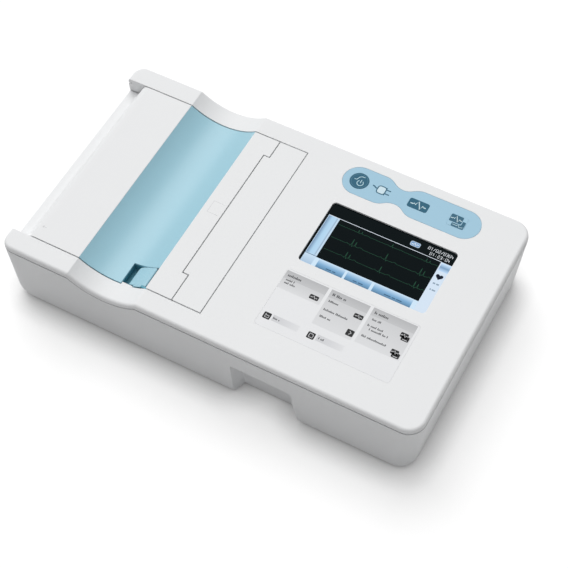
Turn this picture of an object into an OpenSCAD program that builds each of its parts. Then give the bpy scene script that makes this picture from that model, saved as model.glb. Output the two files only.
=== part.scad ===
// Portable resting electrocardiograph: a flat desktop case with a chart printer under a
// sliding paper cover on the left, and a display, three keys and an instruction label on
// the right. X runs along the length to the right, Y to the back, Z up, and the origin is
// on the table under the middle of the case.

/* [Case] */
// Length of the case, left to right
body_l = 328; // [300:1:400]
// Depth of the case, front to back
body_d = 189; // [186:1:230]
// Height of the two shells together
body_h = 60; // [58:1:75]
// Height of the rubber feet under the shell
foot_h = 2; // [1:0.5:4]
// Radius of the feet
foot_r = 7; // [5:0.5:8]
// Plan radius of the right corners
corner_r = 13; // [8:0.5:20]
// Plan radius of the arm ends at the left
arm_corner_r = 9; // [6:0.5:12]
// Thickness of the side walls
wall = 2.5; // [2:0.1:3]
// Thickness of the top plate
top_t = 2.5; // [2.2:0.1:3]
// Thickness of the floor
floor_t = 3; // [2.6:0.1:4]
// Height of the skirt of the upper shell
skirt_h = 4.6; // [3.5:0.1:7]
// Shadow line between the two shells
seam_gap = 0.5; // [0.2:0.1:0.8]
// Rounding of the top edge
edge_r = 1.6; // [0.8:0.1:2.4]
// Rounding of the bottom edge
base_r = 3; // [1:0.5:4]
// Rounding of the left end under the printer
toe_r = 9; // [5:0.5:12]
// Inward lean of the front and back walls, top to bottom
side_draft = 1.8; // [0:0.1:2.5]
// Inward lean of the right wall
right_draft = 4.5; // [0:0.1:5]
// Inward lean of the left end
left_draft = 2; // [0:0.1:3]
// Radius of the screw posts
post_r = 3.9; // [3.6:0.1:4]
// Radius of the case screws
screw_r = 1.5; // [1.2:0.1:1.6]

/* [Chart printer] */
// Width of the arms in front of and behind the printer
arm_w = 16; // [14:0.5:20]
// Width of the chart paper
paper_w = 114; // [90:1:120]
// Side play of the paper in its slot
paper_play = 0.85; // [0.5:0.05:1.5]
// Offset of the paper towards the back
paper_off = 3.35; // [0:0.05:5]
// Length of a folded sheet of the paper pack
sheet_l = 78; // [60:1:80]
// Height of the paper pack
pack_h = 14; // [5:1:18]
// Length of the paper cover from the left end of the case
cover_l = 132.5; // [128:0.5:140]
// Thickness of the paper cover
cover_t = 2.4; // [2:0.1:2.6]
// How far the print head strip reaches into the cover at the slot
slot_step = 4.8; // [3:0.1:6]
// Length of the fixed strip over the print head
strip_l = 23.3; // [20:0.1:30]
// Distance from the left end to the blue scoop
scoop_left = 56.8; // [50:0.1:60]
// Length of the blue scoop
scoop_l = 54.9; // [50:0.1:58]
// Depth of the scoop
scoop_drop = 9.3; // [6:0.1:10]
// Thickness of the scoop panel
scoop_t = 1.5; // [1:0.1:2]
// Distance from the left end to where the cover starts to fall
brow_l = 18; // [16:0.5:20]
// Length of the ledge at the left end of the cover
ledge_l = 8; // [6:0.5:10]
// Drop from the top of the case to the ledge
ledge_drop = 12.5; // [10:0.5:14]
// Shadow gap around the cover and the strip
shadow_gap = 0.6; // [0.4:0.1:0.9]
// Radius of the platen roller
platen_r = 6; // [5:0.1:6.5]
// Radius of the platen journals
journal_r = 2; // [1.5:0.1:2.5]
// Gap between the platen and the print head
nip_gap = 0.3; // [0.1:0.05:0.6]
// Gear module of the paper drive
gear_m = 0.7; // [0.6:0.05:0.75]
// Teeth of the platen gear
platen_teeth = 18; // [16:2:20]
// Teeth of the idler gear
idler_teeth = 22; // [20:2:24]
// Teeth of the motor pinion
pinion_teeth = 14; // [14:1:16]
// Thinning of each gear tooth at its pitch circle
backlash = 0.12; // [0.05:0.01:0.2]
// Face width of the gears
gear_w = 4.5; // [3:0.1:5]
// Radius of the stepper motor
motor_r = 10; // [8:0.5:10.5]
// Length of the stepper motor
motor_l = 17; // [12:1:22]

/* [Cover latch] */
// Length of the latch pocket, at the right end of the scoop
pocket_l = 21.5; // [18:0.5:24]
// Width of the latch pocket, from the front edge of the cover
pocket_w = 19.5; // [14:0.5:20]
// Length of the latch lever
lever_l = 15.8; // [12:0.1:17]
// Thickness of the lever at its free end
lever_t = 2.1; // [1.6:0.1:2.6]
// Depth of the lever's free end below the surface of the scoop
lever_sink = 1.9; // [1:0.1:2.5]
// Radius of the latch pin
latch_pin_r = 1; // [0.8:0.1:1.2]

/* [Display] */
// Width of the display window
display_w = 97; // [80:0.5:105]
// Height of the display window
display_h = 54.4; // [45:0.5:60]
// Distance of the display centre from the right end
display_from_right = 85.6; // [75:0.1:95]
// Position of the display centre towards the back
display_y = 20.7; // [15:0.1:25]
// Corner radius of the display window
window_r = 3; // [1:0.5:5]
// Depth of the touch glass below the top face
glass_depth = 1.4; // [0.8:0.1:1.5]
// Thickness of the touch glass
glass_t = 1.4; // [1:0.1:2]

/* [Keypad] */
// Radius of the keypad lobes
lobe_r = 12.45; // [10:0.05:13]
// Position of the keypad line towards the back
keypad_y = 72.8; // [68:0.1:76]
// Left end of the keypad, from the right end of the case
keypad_left = 140; // [135:0.5:150]
// Length of the left lobe
lobe_a_l = 41; // [35:0.5:45]
// Length of the right lobe
lobe_b_l = 60.5; // [50:0.5:70]
// Gap between the two lobes
lobe_gap = 6; // [4:0.5:8]
// Width of the waist that joins the lobes
waist_w = 13.8; // [8:0.1:20]
// Thickness of the keypad overlay
overlay_t = 0.6; // [0.4:0.1:0.8]
// Radius of the power key
power_r = 7.2; // [5:0.1:8]
// Width of the automatic recording key
auto_w = 15.4; // [12:0.1:18]
// Height of the automatic recording key
auto_h = 8.2; // [6:0.1:10]
// Width of the rhythm key
rhythm_w = 13.2; // [10:0.1:16]
// Height of the rhythm key
rhythm_h = 10.8; // [8:0.1:12]
// Travel of the keys
key_travel = 0.5; // [0.3:0.1:0.6]
// Stand of the keys above the overlay
key_proud = 0.2; // [0:0.1:0.4]

/* [Instruction label] */
// Width of the label
label_w = 102; // [80:1:110]
// Height of the label
label_h = 50; // [40:1:55]
// Position of the label centre towards the back
label_y = -42.6; // [-50:0.1:-38]
// Thickness of the label
label_t = 0.3; // [0.2:0.05:0.5]

/* [Grip recess] */
// Distance of the recess from the right end
grip_from_right = 142; // [135:1:150]
// Width of the recess at its top
grip_w = 48; // [40:1:55]
// Depth of the top of the recess below the top face
grip_drop = 23; // [18:1:28]
// Depth of the recess into the case
grip_d = 12; // [10:0.5:18]
// Inward lean of the left wall from the front to the back of the recess
grip_lean = 4; // [0:0.5:6]
// Sideways flare of the right wall at the bottom
grip_flare = 4.5; // [0:0.5:6]
// Corner radius of the recess
grip_r = 5; // [2:0.5:8]

/* [Rear connectors] */
// Width of the rear connector bay
bay_open_w = 136; // [130:1:142]
// Height of the rear connector bay
bay_open_h = 24; // [22:0.5:28]
// Depth of the rear connector bay
bay_open_d = 9; // [8.5:0.5:12]
// Radius of the potential equalisation pin
stud_r = 3; // [2.5:0.5:4]
// Free length of the potential equalisation pin
stud_l = 5.8; // [4:0.1:6]

/* [Fits] */
// Radial clearance of turning and sliding fits
run_fit = 0.05; // [0.03:0.01:0.08]
// Radial clearance of fixed fits
fix_fit = 0.02; // [0.01:0.01:0.05]
// Clearance around parts that move past each other
slide_gap = 0.3; // [0.2:0.05:0.4]

/* [Hidden] */

$fn = 64;
eps = 0.01;
big = 1000;

white = "#ecedee";
pale_blue = "#a6cfdc";
teal = "#33677c";
steel = "#b9bdc2";
board_green = "#2e6b45";
black = "#1d1f22";

// Overall edges and levels
left_x = -body_l / 2;
right_x = body_l / 2;
top_z = foot_h + body_h;
seam_z = top_z - skirt_h;
lean_z = seam_z - seam_gap / 2;
floor_z = foot_h + floor_t;
ceil_z = top_z - top_t;
bay_half = body_d / 2 - arm_w;

// Printer plan: edges along X, and the paper slot along Y
cover_x = left_x + cover_l;
slot_x = cover_x - slot_step;
strip_x = cover_x + strip_l;
scoop_x0 = left_x + scoop_left;
scoop_x1 = scoop_x0 + scoop_l;
slot_y0 = paper_off - paper_w / 2 - paper_play;
slot_y1 = paper_off + paper_w / 2 + paper_play;

// The scoop is a round trough: its radius follows from its length and depth
wave_r = (scoop_l * scoop_l / 4 + scoop_drop * scoop_drop) / (2 * scoop_drop);
wave_x = (scoop_x0 + scoop_x1) / 2;
wave_z = top_z - scoop_drop + wave_r;

// Running gear of the cover in the arms
cover_half = bay_half - shadow_gap;
runner_z = top_z - 18.8;
runner_h = 2.4;
runner_reach = 1.8;
bay_wall_t = 3.5;
flange_t = 2;
flange_y = cover_half - 4.4;
cover_low_z = runner_z - 1.2;
sill_z = foot_h + 8;

// Platen, print head and gear train
platen_x = slot_x - 1.4 - platen_r;
platen_z = top_z - 12.5;
ear_t = 3;
ear_front_y = slot_y0 - 1;
ear_back_y = slot_y1 + 1;
bush_r = journal_r + 1.5;
head_x = platen_x + platen_r + nip_gap;
ceramic_t = 1;
sink_t = 4;
sink_x = head_x + ceramic_t;
head_y0 = slot_y0 + 2.5;
head_y1 = slot_y1 - 2.5;
head_top_z = ceil_z - 2;
head_pin_r = 1.5;
head_pin_x = head_x + 3;
head_pin_z = top_z - 19;
frame_t = 1.5;
frame_x0 = slot_x - 1.1;
frame_x1 = strip_x - 5;
frame_y0 = ear_front_y - ear_t;
frame_y1 = ear_back_y + ear_t;
frame_base_z = floor_z + 3;
ear_x1 = frame_x0 - 0.7;
back_plate_x = sink_x + sink_t + 5.5;
spring_z = top_z - 8;
spring_r = 2.2;
gear_y = frame_y0 - 2;
idler_x = platen_x + (platen_teeth + idler_teeth) * gear_m / 2;
idler_dist = (idler_teeth + pinion_teeth) * gear_m / 2;
pinion_angle = -45;
pinion_x = idler_x + idler_dist * cos(pinion_angle);
pinion_z = platen_z + idler_dist * sin(pinion_angle);
idler_pin_r = 1.5;
motor_shaft_r = 1;
motor_y = frame_y0 + frame_t;
frame_feet = [for (x = [frame_x0 + 5, frame_x1 - 5], y = [frame_y0 + 6, frame_y1 - 6]) [x, y]];

// Turn of the idler that meets the platen gear, and of the pinion that meets the idler
idler_turn = 180 / idler_teeth;
idler_pitch = 360 / idler_teeth;
idler_ahead = idler_turn + idler_pitch * round((pinion_angle - idler_turn) / idler_pitch) - pinion_angle;
pinion_turn = pinion_angle + 180 - idler_ahead * idler_teeth / pinion_teeth + 180 / pinion_teeth;

// Paper tray under the cover
tray_wall = 1.5;
tray_z = floor_z + 2;
tray_x1 = platen_x - platen_r - 7.3;
tray_x0 = tray_x1 - sheet_l - 4;
tray_top_z = cover_low_z - 4;

// Latch in the front right corner of the scoop
pocket_x0 = scoop_x1 - pocket_l;
pocket_y0 = -cover_half;
pocket_y1 = -bay_half + pocket_w;
pocket_t = 1.2;
pocket_back = 2;
pocket_z = cover_low_z + 4;
latch_x = scoop_x1 - 2.7;
latch_z = top_z - 3.4;
lever_y0 = pocket_y0 + 2.1;
lever_y1 = pocket_y1 - 0.3;
lever_x1 = scoop_x1 - 0.4;
lever_x0 = lever_x1 - lever_l;
lever_tip_z = scoop_z(lever_x0) - lever_sink - lever_t;
lane_z = scoop_z(pocket_x0) + 0.1;
strike_y1 = pocket_y0 + 1.6;

// Screw posts of the case, as points in plan
post_rear = body_d / 2 - wall - side_draft - post_r;
posts = [
    for (x = [left_x + 14, strip_x - 4], s = [-1, 1]) [x, s * post_rear],
    for (s = [-1, 1]) [right_x - corner_r, s * (body_d / 2 - corner_r)]
];
post_z = top_z - 10;
screw_seat_z = post_z - 8;
screw_head_r = 2.9;
screw_head_h = 2.4;
screw_end_z = post_z + 5;
small_screw_r = 1;
small_head_r = 2;
small_head_h = 1.4;

// Feet under the four corners
feet = [for (x = [left_x + 30, right_x - 30], s = [-1, 1]) [x, s * (body_d / 2 - 17)]];
foot_seat = 1;

// Display stack under the top plate
display_x = right_x - display_from_right;
glass_lap = 3;
glass_w = display_w + 2 * glass_lap;
glass_h = display_h + 2 * glass_lap;
glass_top_z = top_z - glass_depth;
lcd_w = display_w + 8.5;
lcd_h = display_h + 6;
lcd_t = 3.4;
lcd_z = glass_top_z - glass_t - lcd_t;
frame_ear = 7;
frame_w = lcd_w + 2 * (frame_ear + slide_gap);
label_r = 2;
frame_floor_t = 1.2;

// Keypad layout
keypad_x0 = right_x - keypad_left;
lobe_b_x0 = keypad_x0 + lobe_a_l + lobe_gap;
// the waist is a pair of arcs that run into both lobes just short of touching them
waist_x = keypad_x0 + lobe_a_l + lobe_gap / 2;
waist_half = lobe_r + lobe_gap / 2;
waist_r = (waist_half * waist_half + waist_w * waist_w / 4 - lobe_r * lobe_r) / (2 * lobe_r - waist_w);
waist_reach = waist_half * waist_r / (lobe_r + waist_r);
waist_rise = (waist_w / 2 + waist_r) * lobe_r / (lobe_r + waist_r) - 0.8;
power_x = keypad_x0 + lobe_r;
auto_x = lobe_b_x0 + lobe_r;
rhythm_x = lobe_b_x0 + lobe_b_l - 17.5;
lamp_x = keypad_x0 + lobe_a_l - 10.6;
film_gap = 0.1;
key_r = 1.6;
key_gap = 0.2;
key_flange = 1;
switch_z = ceil_z - 5.3;
board_t = 1.6;
dome_h = 0.8;
key_foot_z = switch_z + board_t + dome_h + key_travel + slide_gap;
key_flange_z = key_foot_z + 0.5;
key_stem_r = 2;
lamp_r = 1.6;

// Inside of the right half: the boards stand on posts from the floor
board_z = floor_z + 33;
board_x0 = strip_x + 11;
board_x1 = right_x - 9;
board_y0 = -body_d / 2 + 22;
board_y1 = body_d / 2 - 34;
board_posts = [for (x = [board_x0 + 5, board_x1 - 4], y = [board_y0 + 5, board_y0 + 62]) [x, y]];
board_post_r = 3.2;

// Battery door in the floor
door_x0 = right_x - 88;
door_x1 = right_x - 18;
door_y0 = -body_d / 2 + 28;
door_y1 = door_y0 + 50;
door_gap = 0.3;
door_lap = 6;
door_t = 1.6;
door_screw_x = [door_x0 + 12, door_x1 - 12];
door_screw_y = door_y1 - door_lap / 2;
door_screw_z = foot_h + 0.9;
door_boss_r = 2.6;
door_boss_h = 7;

// Grip recess in the front wall
grip_x0 = right_x - grip_from_right;
grip_x1 = grip_x0 + grip_w;
grip_z = top_z - grip_drop;
grip_y = -body_d / 2 + grip_d;
grip_wall = 2;

// Rear connector bay and what sits on its wall
bay_x0 = right_x - 24 - bay_open_w;
bay_x1 = bay_x0 + bay_open_w;
bay_z0 = foot_h + 7;
bay_z1 = bay_z0 + bay_open_h;
bay_y = body_d / 2 - bay_open_d;
bay_wall = 2;
bay_mid_z = (bay_z0 + bay_z1) / 2;
patient_x = bay_x0 + 26;
host_x = bay_x0 + 60;
device_x = bay_x0 + 78;
stud_x = bay_x0 + 95;
stud_collar = 2;
inlet_x = bay_x1 - 19;
inlet_w = 27;
inlet_h = 20;
inlet_wall = 1.6;
inlet_d = 15;
inlet_y1 = bay_y + 2;
inlet_rim = 1.5;
usb_w = 14.6;
usb_h = 7.4;
usb_shell = 0.9;
usb_d = 13;
plate_w = 39;
plate_h = 12.5;
dsub_w = 25;
dsub_h = 8.4;

// Points along an arc about [cx, cy] from angle a0 to a1
function arc(cx, cy, r, a0, a1, n = 8) =
    [for (i = [0 : n]) let (a = a0 + (a1 - a0) * i / n) [cx + r * cos(a), cy + r * sin(a)]];

// Rounded rectangle with one radius at the left and one at the right
function plan(x0, x1, y0, y1, rl, rr) = concat(
    arc(x1 - rr, y1 - rr, rr, 0, 90),
    arc(x0 + rl, y1 - rl, rl, 90, 180),
    arc(x0 + rl, y0 + rl, rl, 180, 270),
    arc(x1 - rr, y0 + rr, rr, 270, 360)
);

// Height of the scoop's surface at x
function scoop_z(x) = wave_z - sqrt(wave_r * wave_r - (x - wave_x) * (x - wave_x));

// Inset of an edge of radius r at a height h above or below its flat
function edge_in(h, r) = h >= r ? 0 : r - sqrt(r * r - (r - h) * (r - h));

// Share of the wall's lean at a height z: 1 at the bottom, 0 in the middle of the seam
function lean(z) = z >= lean_z ? 0 : (lean_z - z) / (lean_z - foot_h);

// Outline of the case at a height z, moved inwards by t
module case_slice(z, t) {
    low = z - foot_h;
    up = edge_in(top_z - z, edge_r);
    side = t + up + side_draft * lean(z) + edge_in(low, base_r);
    far = t + up + right_draft * lean(z) + edge_in(low, base_r);
    near = t + up + left_draft * lean(z) + edge_in(low, toe_r);
    rl = max(arm_corner_r - t - up, 1);
    rr = max(corner_r - t - up, 1);
    half = body_d / 2 - side;
    translate([0, 0, z - (z >= top_z ? eps : 0)])
        linear_extrude(eps) polygon(plan(left_x + near, right_x - far, -half, half, rl, rr));
}

// The outer form of the case as one convex block, without the scoop
module case_block() {
    low = [for (k = [0, 0.12, 0.34, 0.65, 1]) foot_h + k * toe_r];
    high = [for (k = [1, 0.6, 0.3, 0.1, 0]) top_z - k * edge_r];
    hull() for (z = concat(low, [foot_h + base_r / 2, lean_z], high)) case_slice(z, 0);
}

// The hollow inside the walls, from the floor up to a height z1
module case_hollow(z1) {
    hull() for (z = [floor_z, foot_h + toe_r, lean_z, z1]) case_slice(z, wall);
}

// The scoop's round trough, r across its whole depth, lowered by d
module trough(r, d = 0) {
    translate([wave_x, 0, wave_z - d]) rotate([90, 0, 0])
        cylinder(r = r, h = big, center = true, $fn = 128);
}

module block(p0, p1) {
    translate(p0) cube(p1 - p0);
}

// Two blocks mirrored across the X axis, from y0 to y1 on each side
module side_blocks(x0, x1, y0, y1, z0, z1) {
    block([x0, y0, z0], [x1, y1, z1]);
    block([x0, -y1, z0], [x1, -y0, z1]);
}

module rod_y(x, z, r, y0, y1) {
    translate([x, y0, z]) rotate([-90, 0, 0]) cylinder(r = r, h = y1 - y0);
}

module rod_z(x, y, r, z0, z1) {
    translate([x, y, z0]) cylinder(r = r, h = z1 - z0);
}

// Upright prism with rounded corners about a centre in plan
module pad(x, y, w, h, r, z0, z1) {
    translate([x, y, z0]) linear_extrude(z1 - z0) {
        square([w - 2 * r, h], center = true);
        square([w, h - 2 * r], center = true);
        for (i = [-1, 1], j = [-1, 1]) translate([i * (w / 2 - r), j * (h / 2 - r)]) circle(r, $fn = 32);
    }
}

// Pan head screw pointing up, with its seat at z
module screw_up(x, y, z, r, length, head_r, head_h) {
    rod_z(x, y, head_r, z - head_h, z);
    rod_z(x, y, r, z - eps, z + length);
}

// Small pan head screw pointing down, with its seat at z
module screw_down(x, y, z, length) {
    rod_z(x, y, small_head_r, z, z + small_head_h);
    rod_z(x, y, small_screw_r, z - length, z + eps);
}

// Spring of round wire along +Z from the origin, as one swept tube with flat closed ends
module coil(r, wire, length, turns) {
    sides = 6;
    per_turn = 12;
    rise = length - 2 * wire;
    n = turns * per_turn;
    points = [for (i = [0 : n], k = [0 : sides - 1])
        let (a = 360 * i / per_turn, b = 360 * k / sides, q = r - wire + wire * cos(b))
        [q * cos(a), q * sin(a), wire + rise * i / n + wire * sin(b)]];
    skin = [for (i = [0 : n - 1], k = [0 : sides - 1], t = [0, 1])
        let (u = (k + 1) % sides, p = i * sides, q = p + sides)
        t == 0 ? [p + k, q + k, q + u] : [p + k, q + u, p + u]];
    ends = [for (k = [1 : sides - 2], t = [0, 1])
        t == 0 ? [0, k, k + 1] : [n * sides, n * sides + k + 1, n * sides + k]];
    polyhedron(points, concat(skin, ends));
}

// Involute gear: half angle of a tooth at radius r, in degrees
function involute(a) = tan(a) * 180 / PI - a;
function tooth_half(teeth, r) =
    let (rp = teeth * gear_m / 2, rb = rp * cos(20), s = PI * gear_m / 2 - backlash)
    s / (2 * rp) * 180 / PI + involute(20) - (r > rb ? involute(acos(rb / r)) : 0);

// Outline of a gear with a tooth at angle 0
function gear_points(teeth) =
    let (rp = teeth * gear_m / 2, r0 = rp - 1.25 * gear_m, r1 = rp + gear_m, rb = max(rp * cos(20), r0))
    let (radii = concat([r0], [for (k = [0 : 4]) rb + (r1 - rb) * k / 4]))
    [for (t = [0 : teeth - 1], s = [-1, 1], k = [0 : len(radii) - 1])
        let (r = radii[s < 0 ? k : len(radii) - 1 - k], a = 360 * t / teeth + s * tooth_half(teeth, r))
        [r * cos(a), r * sin(a)]];

// Gear about the Y axis through [x, z], from y back to y - gear_w, turned by a
module gear_y(teeth, x, z, y, a, bore_r) {
    difference() {
        translate([x, y, z]) rotate([90, 0, 0]) linear_extrude(gear_w)
            rotate(a) polygon(gear_points(teeth));
        rod_y(x, z, bore_r, y - gear_w - 1, y + 1);
    }
}

// Keypad outline: two lobes and the waist between them, grown by g
module keypad_plan(g) {
    module lobe(x0, length) {
        for (x = [x0 + lobe_r, x0 + length - lobe_r]) translate([x, keypad_y]) circle(lobe_r + g);
        translate([x0 + lobe_r, keypad_y - lobe_r - g]) square([length - 2 * lobe_r, 2 * (lobe_r + g)]);
    }
    lobe(keypad_x0, lobe_a_l);
    lobe(lobe_b_x0, lobe_b_l);
    difference() {
        translate([waist_x - waist_reach, keypad_y - waist_rise]) square([2 * waist_reach, 2 * waist_rise]);
        for (s = [-1, 1]) translate([waist_x, keypad_y + s * (waist_w / 2 + waist_r)]) circle(waist_r - g);
    }
}

// The three key caps as prisms between two heights, grown by g
module power_prism(g, z0, z1) {
    rod_z(power_x, keypad_y, power_r + g, z0, z1);
}

module auto_prism(g, z0, z1) {
    pad(auto_x, keypad_y, auto_w + 2 * g, auto_h + 2 * g, key_r + g, z0, z1);
}

module rhythm_prism(g, z0, z1) {
    pad(rhythm_x, keypad_y, rhythm_w + 2 * g, rhythm_h + 2 * g, key_r + g, z0, z1);
}

module key_prisms(g, z0, z1) {
    power_prism(g, z0, z1);
    auto_prism(g, z0, z1);
    rhythm_prism(g, z0, z1);
}

// Outline of the grip recess seen from the front, grown by g
function grip_points(g) = concat(
    [[grip_x0 - g, foot_h - 2 * g - 1], [grip_x0 - g, grip_z + g]],
    arc(grip_x1 + g - grip_r, grip_z + g - grip_r, grip_r, 90, 0),
    [[grip_x1 + g, foot_h + 24], [grip_x1 + g + grip_flare, foot_h - 2 * g - 1]]
);

// Space of the grip recess, grown by g and ending at y1
module grip_prism(g, y1) {
    left = grip_x0 - g;
    difference() {
        translate([0, y1, 0]) rotate([90, 0, 0]) linear_extrude(y1 + body_d) polygon(grip_points(g));
        // the left wall leans in towards the back
        translate([0, 0, -big]) linear_extrude(2 * big) polygon([
            [left, -body_d / 2], [left + grip_lean, y1], [left + grip_lean, y1 + 1],
            [left - 1, y1 + 1], [left - 1, -body_d / 2]]);
    }
}

// Lower shell: floor and walls, inner walls of the printer bay, recesses, posts and cut-outs
module bottom_shell() {
    module under_seam(gap) {
        difference() {
            block([-big, -big, -big], [big, big, seam_z - gap]);
            trough(wave_r, skirt_h + gap);
        }
    }
    module hollow() {
        difference() {
            case_hollow(top_z);
            side_blocks(-big, strip_x, bay_half, bay_half + bay_wall_t, -big, big);
            grip_prism(grip_wall, grip_y + grip_wall);
            block([bay_x0 - bay_wall, bay_y - bay_wall, bay_z0 - bay_wall],
                [bay_x1 + bay_wall, big, bay_z1 + bay_wall]);
            for (p = posts) rod_z(p[0], p[1], post_r, 0, post_z);
            for (p = board_posts) rod_z(p[0], p[1], board_post_r, 0, board_z);
            for (x = door_screw_x) rod_z(x, door_screw_y, door_boss_r, 0, floor_z + door_boss_h);
            for (p = frame_feet) rod_z(p[0], p[1], 3, 0, frame_base_z);
        }
    }
    module walls() {
        difference() {
            intersection() {
                case_block();
                union() {
                    under_seam(seam_gap);
                    // the bay walls run up to the underside of the arms' top plate
                    side_blocks(left_x + wall + slide_gap, strip_x,
                        bay_half, bay_half + bay_wall_t, 0, ceil_z);
                }
            }
            hollow();
            trough(wave_r + top_t + fix_fit);
        }
    }
    color(white) difference() {
        union() {
            walls();
            // ledges that carry the ends of the print head strip
            side_blocks(cover_x + 4, frame_x1, bay_half - 4, bay_half + eps, ceil_z - 2.5, ceil_z);
        }
        // open left end between the arms
        block([-big, -bay_half, sill_z], [left_x + 30, bay_half, big]);
        // grooves for the runners of the cover
        side_blocks(-big, cover_x + 2, bay_half - 1, bay_half + runner_reach + slide_gap,
            runner_z - slide_gap, runner_z + runner_h + slide_gap);
        grip_prism(0, grip_y);
        block([bay_x0, bay_y, bay_z0], [bay_x1, big, bay_z1]);
        // holes of the rear connectors
        block([inlet_x - inlet_w / 2 - fix_fit, 0, bay_mid_z - inlet_h / 2 - fix_fit],
            [inlet_x + inlet_w / 2 + fix_fit, bay_y + 1, bay_mid_z + inlet_h / 2 + fix_fit]);
        for (x = [host_x, device_x]) block(
            [x - usb_w / 2 - fix_fit, bay_y - bay_wall - 1, bay_mid_z - usb_h / 2 - fix_fit],
            [x + usb_w / 2 + fix_fit, bay_y + 1, bay_mid_z + usb_h / 2 + fix_fit]);
        block([patient_x - dsub_w / 2 - fix_fit, bay_y - bay_wall - 1, bay_mid_z - dsub_h / 2 - fix_fit],
            [patient_x + dsub_w / 2 + fix_fit, bay_y + 1, bay_mid_z + dsub_h / 2 + fix_fit]);
        rod_y(stud_x, bay_mid_z, stud_r + fix_fit, bay_y - bay_wall - 1, bay_y + 1);
        // case screws enter from below
        for (p = posts) {
            rod_z(p[0], p[1], screw_head_r + slide_gap, 0, screw_seat_z);
            rod_z(p[0], p[1], screw_r + run_fit, 0, big);
        }
        for (p = feet) rod_z(p[0], p[1], foot_r + fix_fit, 0, foot_h + foot_seat);
        // battery door: a rebate from below and the opening above it
        block([door_x0 - door_gap, door_y0 - door_gap, 0],
            [door_x1 + door_gap, door_y1 + door_gap, foot_h + door_t]);
        block([door_x0 + door_lap, door_y0 + door_lap, 0],
            [door_x1 - door_lap, door_y1 - door_lap, floor_z + 1]);
        for (x = door_screw_x)
            rod_z(x, door_screw_y, small_screw_r + run_fit, 0, floor_z + door_boss_h - 1);
        for (p = board_posts) rod_z(p[0], p[1], small_screw_r + run_fit, board_z - 6, big);
        for (p = frame_feet) rod_z(p[0], p[1], small_screw_r + run_fit, floor_z - 1, big);
    }
}

// Upper shell: top plate with its skirt, the two arms, windows and recesses
module top_shell() {
    module plate() {
        difference() {
            intersection() {
                case_block();
                union() {
                    block([-big, -big, seam_z], [big, big, big]);
                    trough(wave_r, skirt_h);
                }
            }
            difference() {
                case_hollow(ceil_z);
                trough(wave_r + top_t);
            }
            trough(wave_r);
            block([-big, -bay_half, 0], [strip_x, bay_half, big]);
        }
    }
    // ledge under the right edge of the print head strip
    module ledge() {
        translate([0, bay_half - 6, 0]) rotate([90, 0, 0]) linear_extrude(2 * bay_half - 12) polygon([
            [strip_x - 4, ceil_z - 2.2], [strip_x + 4, ceil_z - 2.2], [strip_x + 4, ceil_z + 0.5],
            [strip_x + 1, ceil_z + 0.5], [strip_x + 1, ceil_z - fix_fit], [strip_x - 4, ceil_z - fix_fit]]);
    }
    color(white) difference() {
        union() {
            plate();
            ledge();
            for (p = posts) rod_z(p[0], p[1], post_r, post_z, ceil_z + 0.5);
            // bosses of the switch board
            for (x = [keypad_x0 + 3.5, lobe_b_x0 + lobe_b_l - 3.5], s = [-1, 1])
                rod_z(x, keypad_y + s * (lobe_r - 3.5), 1.8, switch_z + board_t, ceil_z + 0.5);
        }
        pad(display_x, display_y, display_w, display_h, window_r, glass_top_z - 0.5, top_z + 1);
        pad(display_x, display_y, glass_w + slide_gap, glass_h + slide_gap, window_r,
            ceil_z - 1, glass_top_z);
        translate([0, 0, top_z - overlay_t]) linear_extrude(1) keypad_plan(film_gap);
        key_prisms(key_gap, ceil_z - 1, top_z + 1);
        rod_z(lamp_x, keypad_y, lamp_r + fix_fit, ceil_z - 1, top_z);
        pad(display_x, label_y, label_w + 2 * fix_fit, label_h + 2 * fix_fit, label_r,
            top_z - label_t, top_z + 1);
        for (p = posts) rod_z(p[0], p[1], screw_r + run_fit, 0, screw_end_z + 0.5);
    }
}

module rubber_feet() {
    color(black) for (p = feet) rod_z(p[0], p[1], foot_r, 0, foot_h + foot_seat);
}

module case_screws() {
    color(steel) for (p = posts)
        screw_up(p[0], p[1], screw_seat_z, screw_r, screw_end_z - screw_seat_z, screw_head_r, screw_head_h);
}

// Door over the battery: a plate in the floor's rebate with a raised pad inside the opening
module battery_door() {
    color(white) difference() {
        union() {
            block([door_x0, door_y0, foot_h], [door_x1, door_y1, foot_h + door_t]);
            block([door_x0 + door_lap + door_gap, door_y0 + door_lap + door_gap, foot_h + eps],
                [door_x1 - door_lap - door_gap, door_y1 - door_lap - door_gap, floor_z]);
        }
        for (x = door_screw_x) {
            rod_z(x, door_screw_y, small_screw_r + run_fit, 0, floor_z);
            rod_z(x, door_screw_y, small_head_r + slide_gap / 2, 0, door_screw_z);
        }
    }
}

module door_screws() {
    color(steel) for (x = door_screw_x)
        screw_up(x, door_screw_y, door_screw_z, small_screw_r, floor_t + 3, small_head_r, 0.7);
}

// Rechargeable pack standing on the battery door
module battery_pack() {
    color("#3b4a66") block([door_x0 + door_lap + 1, door_y0 + door_lap + 1, floor_z],
        [door_x1 - door_lap - 1, door_y1 - door_lap - 1, floor_z + 22]);
}

module main_board() {
    color(board_green) difference() {
        block([board_x0, board_y0, board_z], [board_x1, board_y1, board_z + board_t]);
        for (p = board_posts) rod_z(p[0], p[1], small_screw_r + run_fit, 0, big);
    }
}

// Processor, memory, connectors and large capacitors on the main board
module board_chips() {
    z = board_z + board_t;
    color(black) {
        for (i = [0 : 2]) translate([board_x0 + 30 + 26 * i, board_y0 + 40, z]) cube([16, 16, 2]);
        for (i = [0 : 3]) translate([board_x0 + 26 + 22 * i, board_y0 + 12, z]) cube([16, 8, 4]);
        for (i = [0 : 3]) rod_z(board_x1 - 14, board_y0 + 84 + 9 * i, 3.4, z, z + 8);
    }
}

module board_screws() {
    color(steel) for (p = board_posts) screw_down(p[0], p[1], board_z + board_t, board_t + 5);
}

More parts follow.
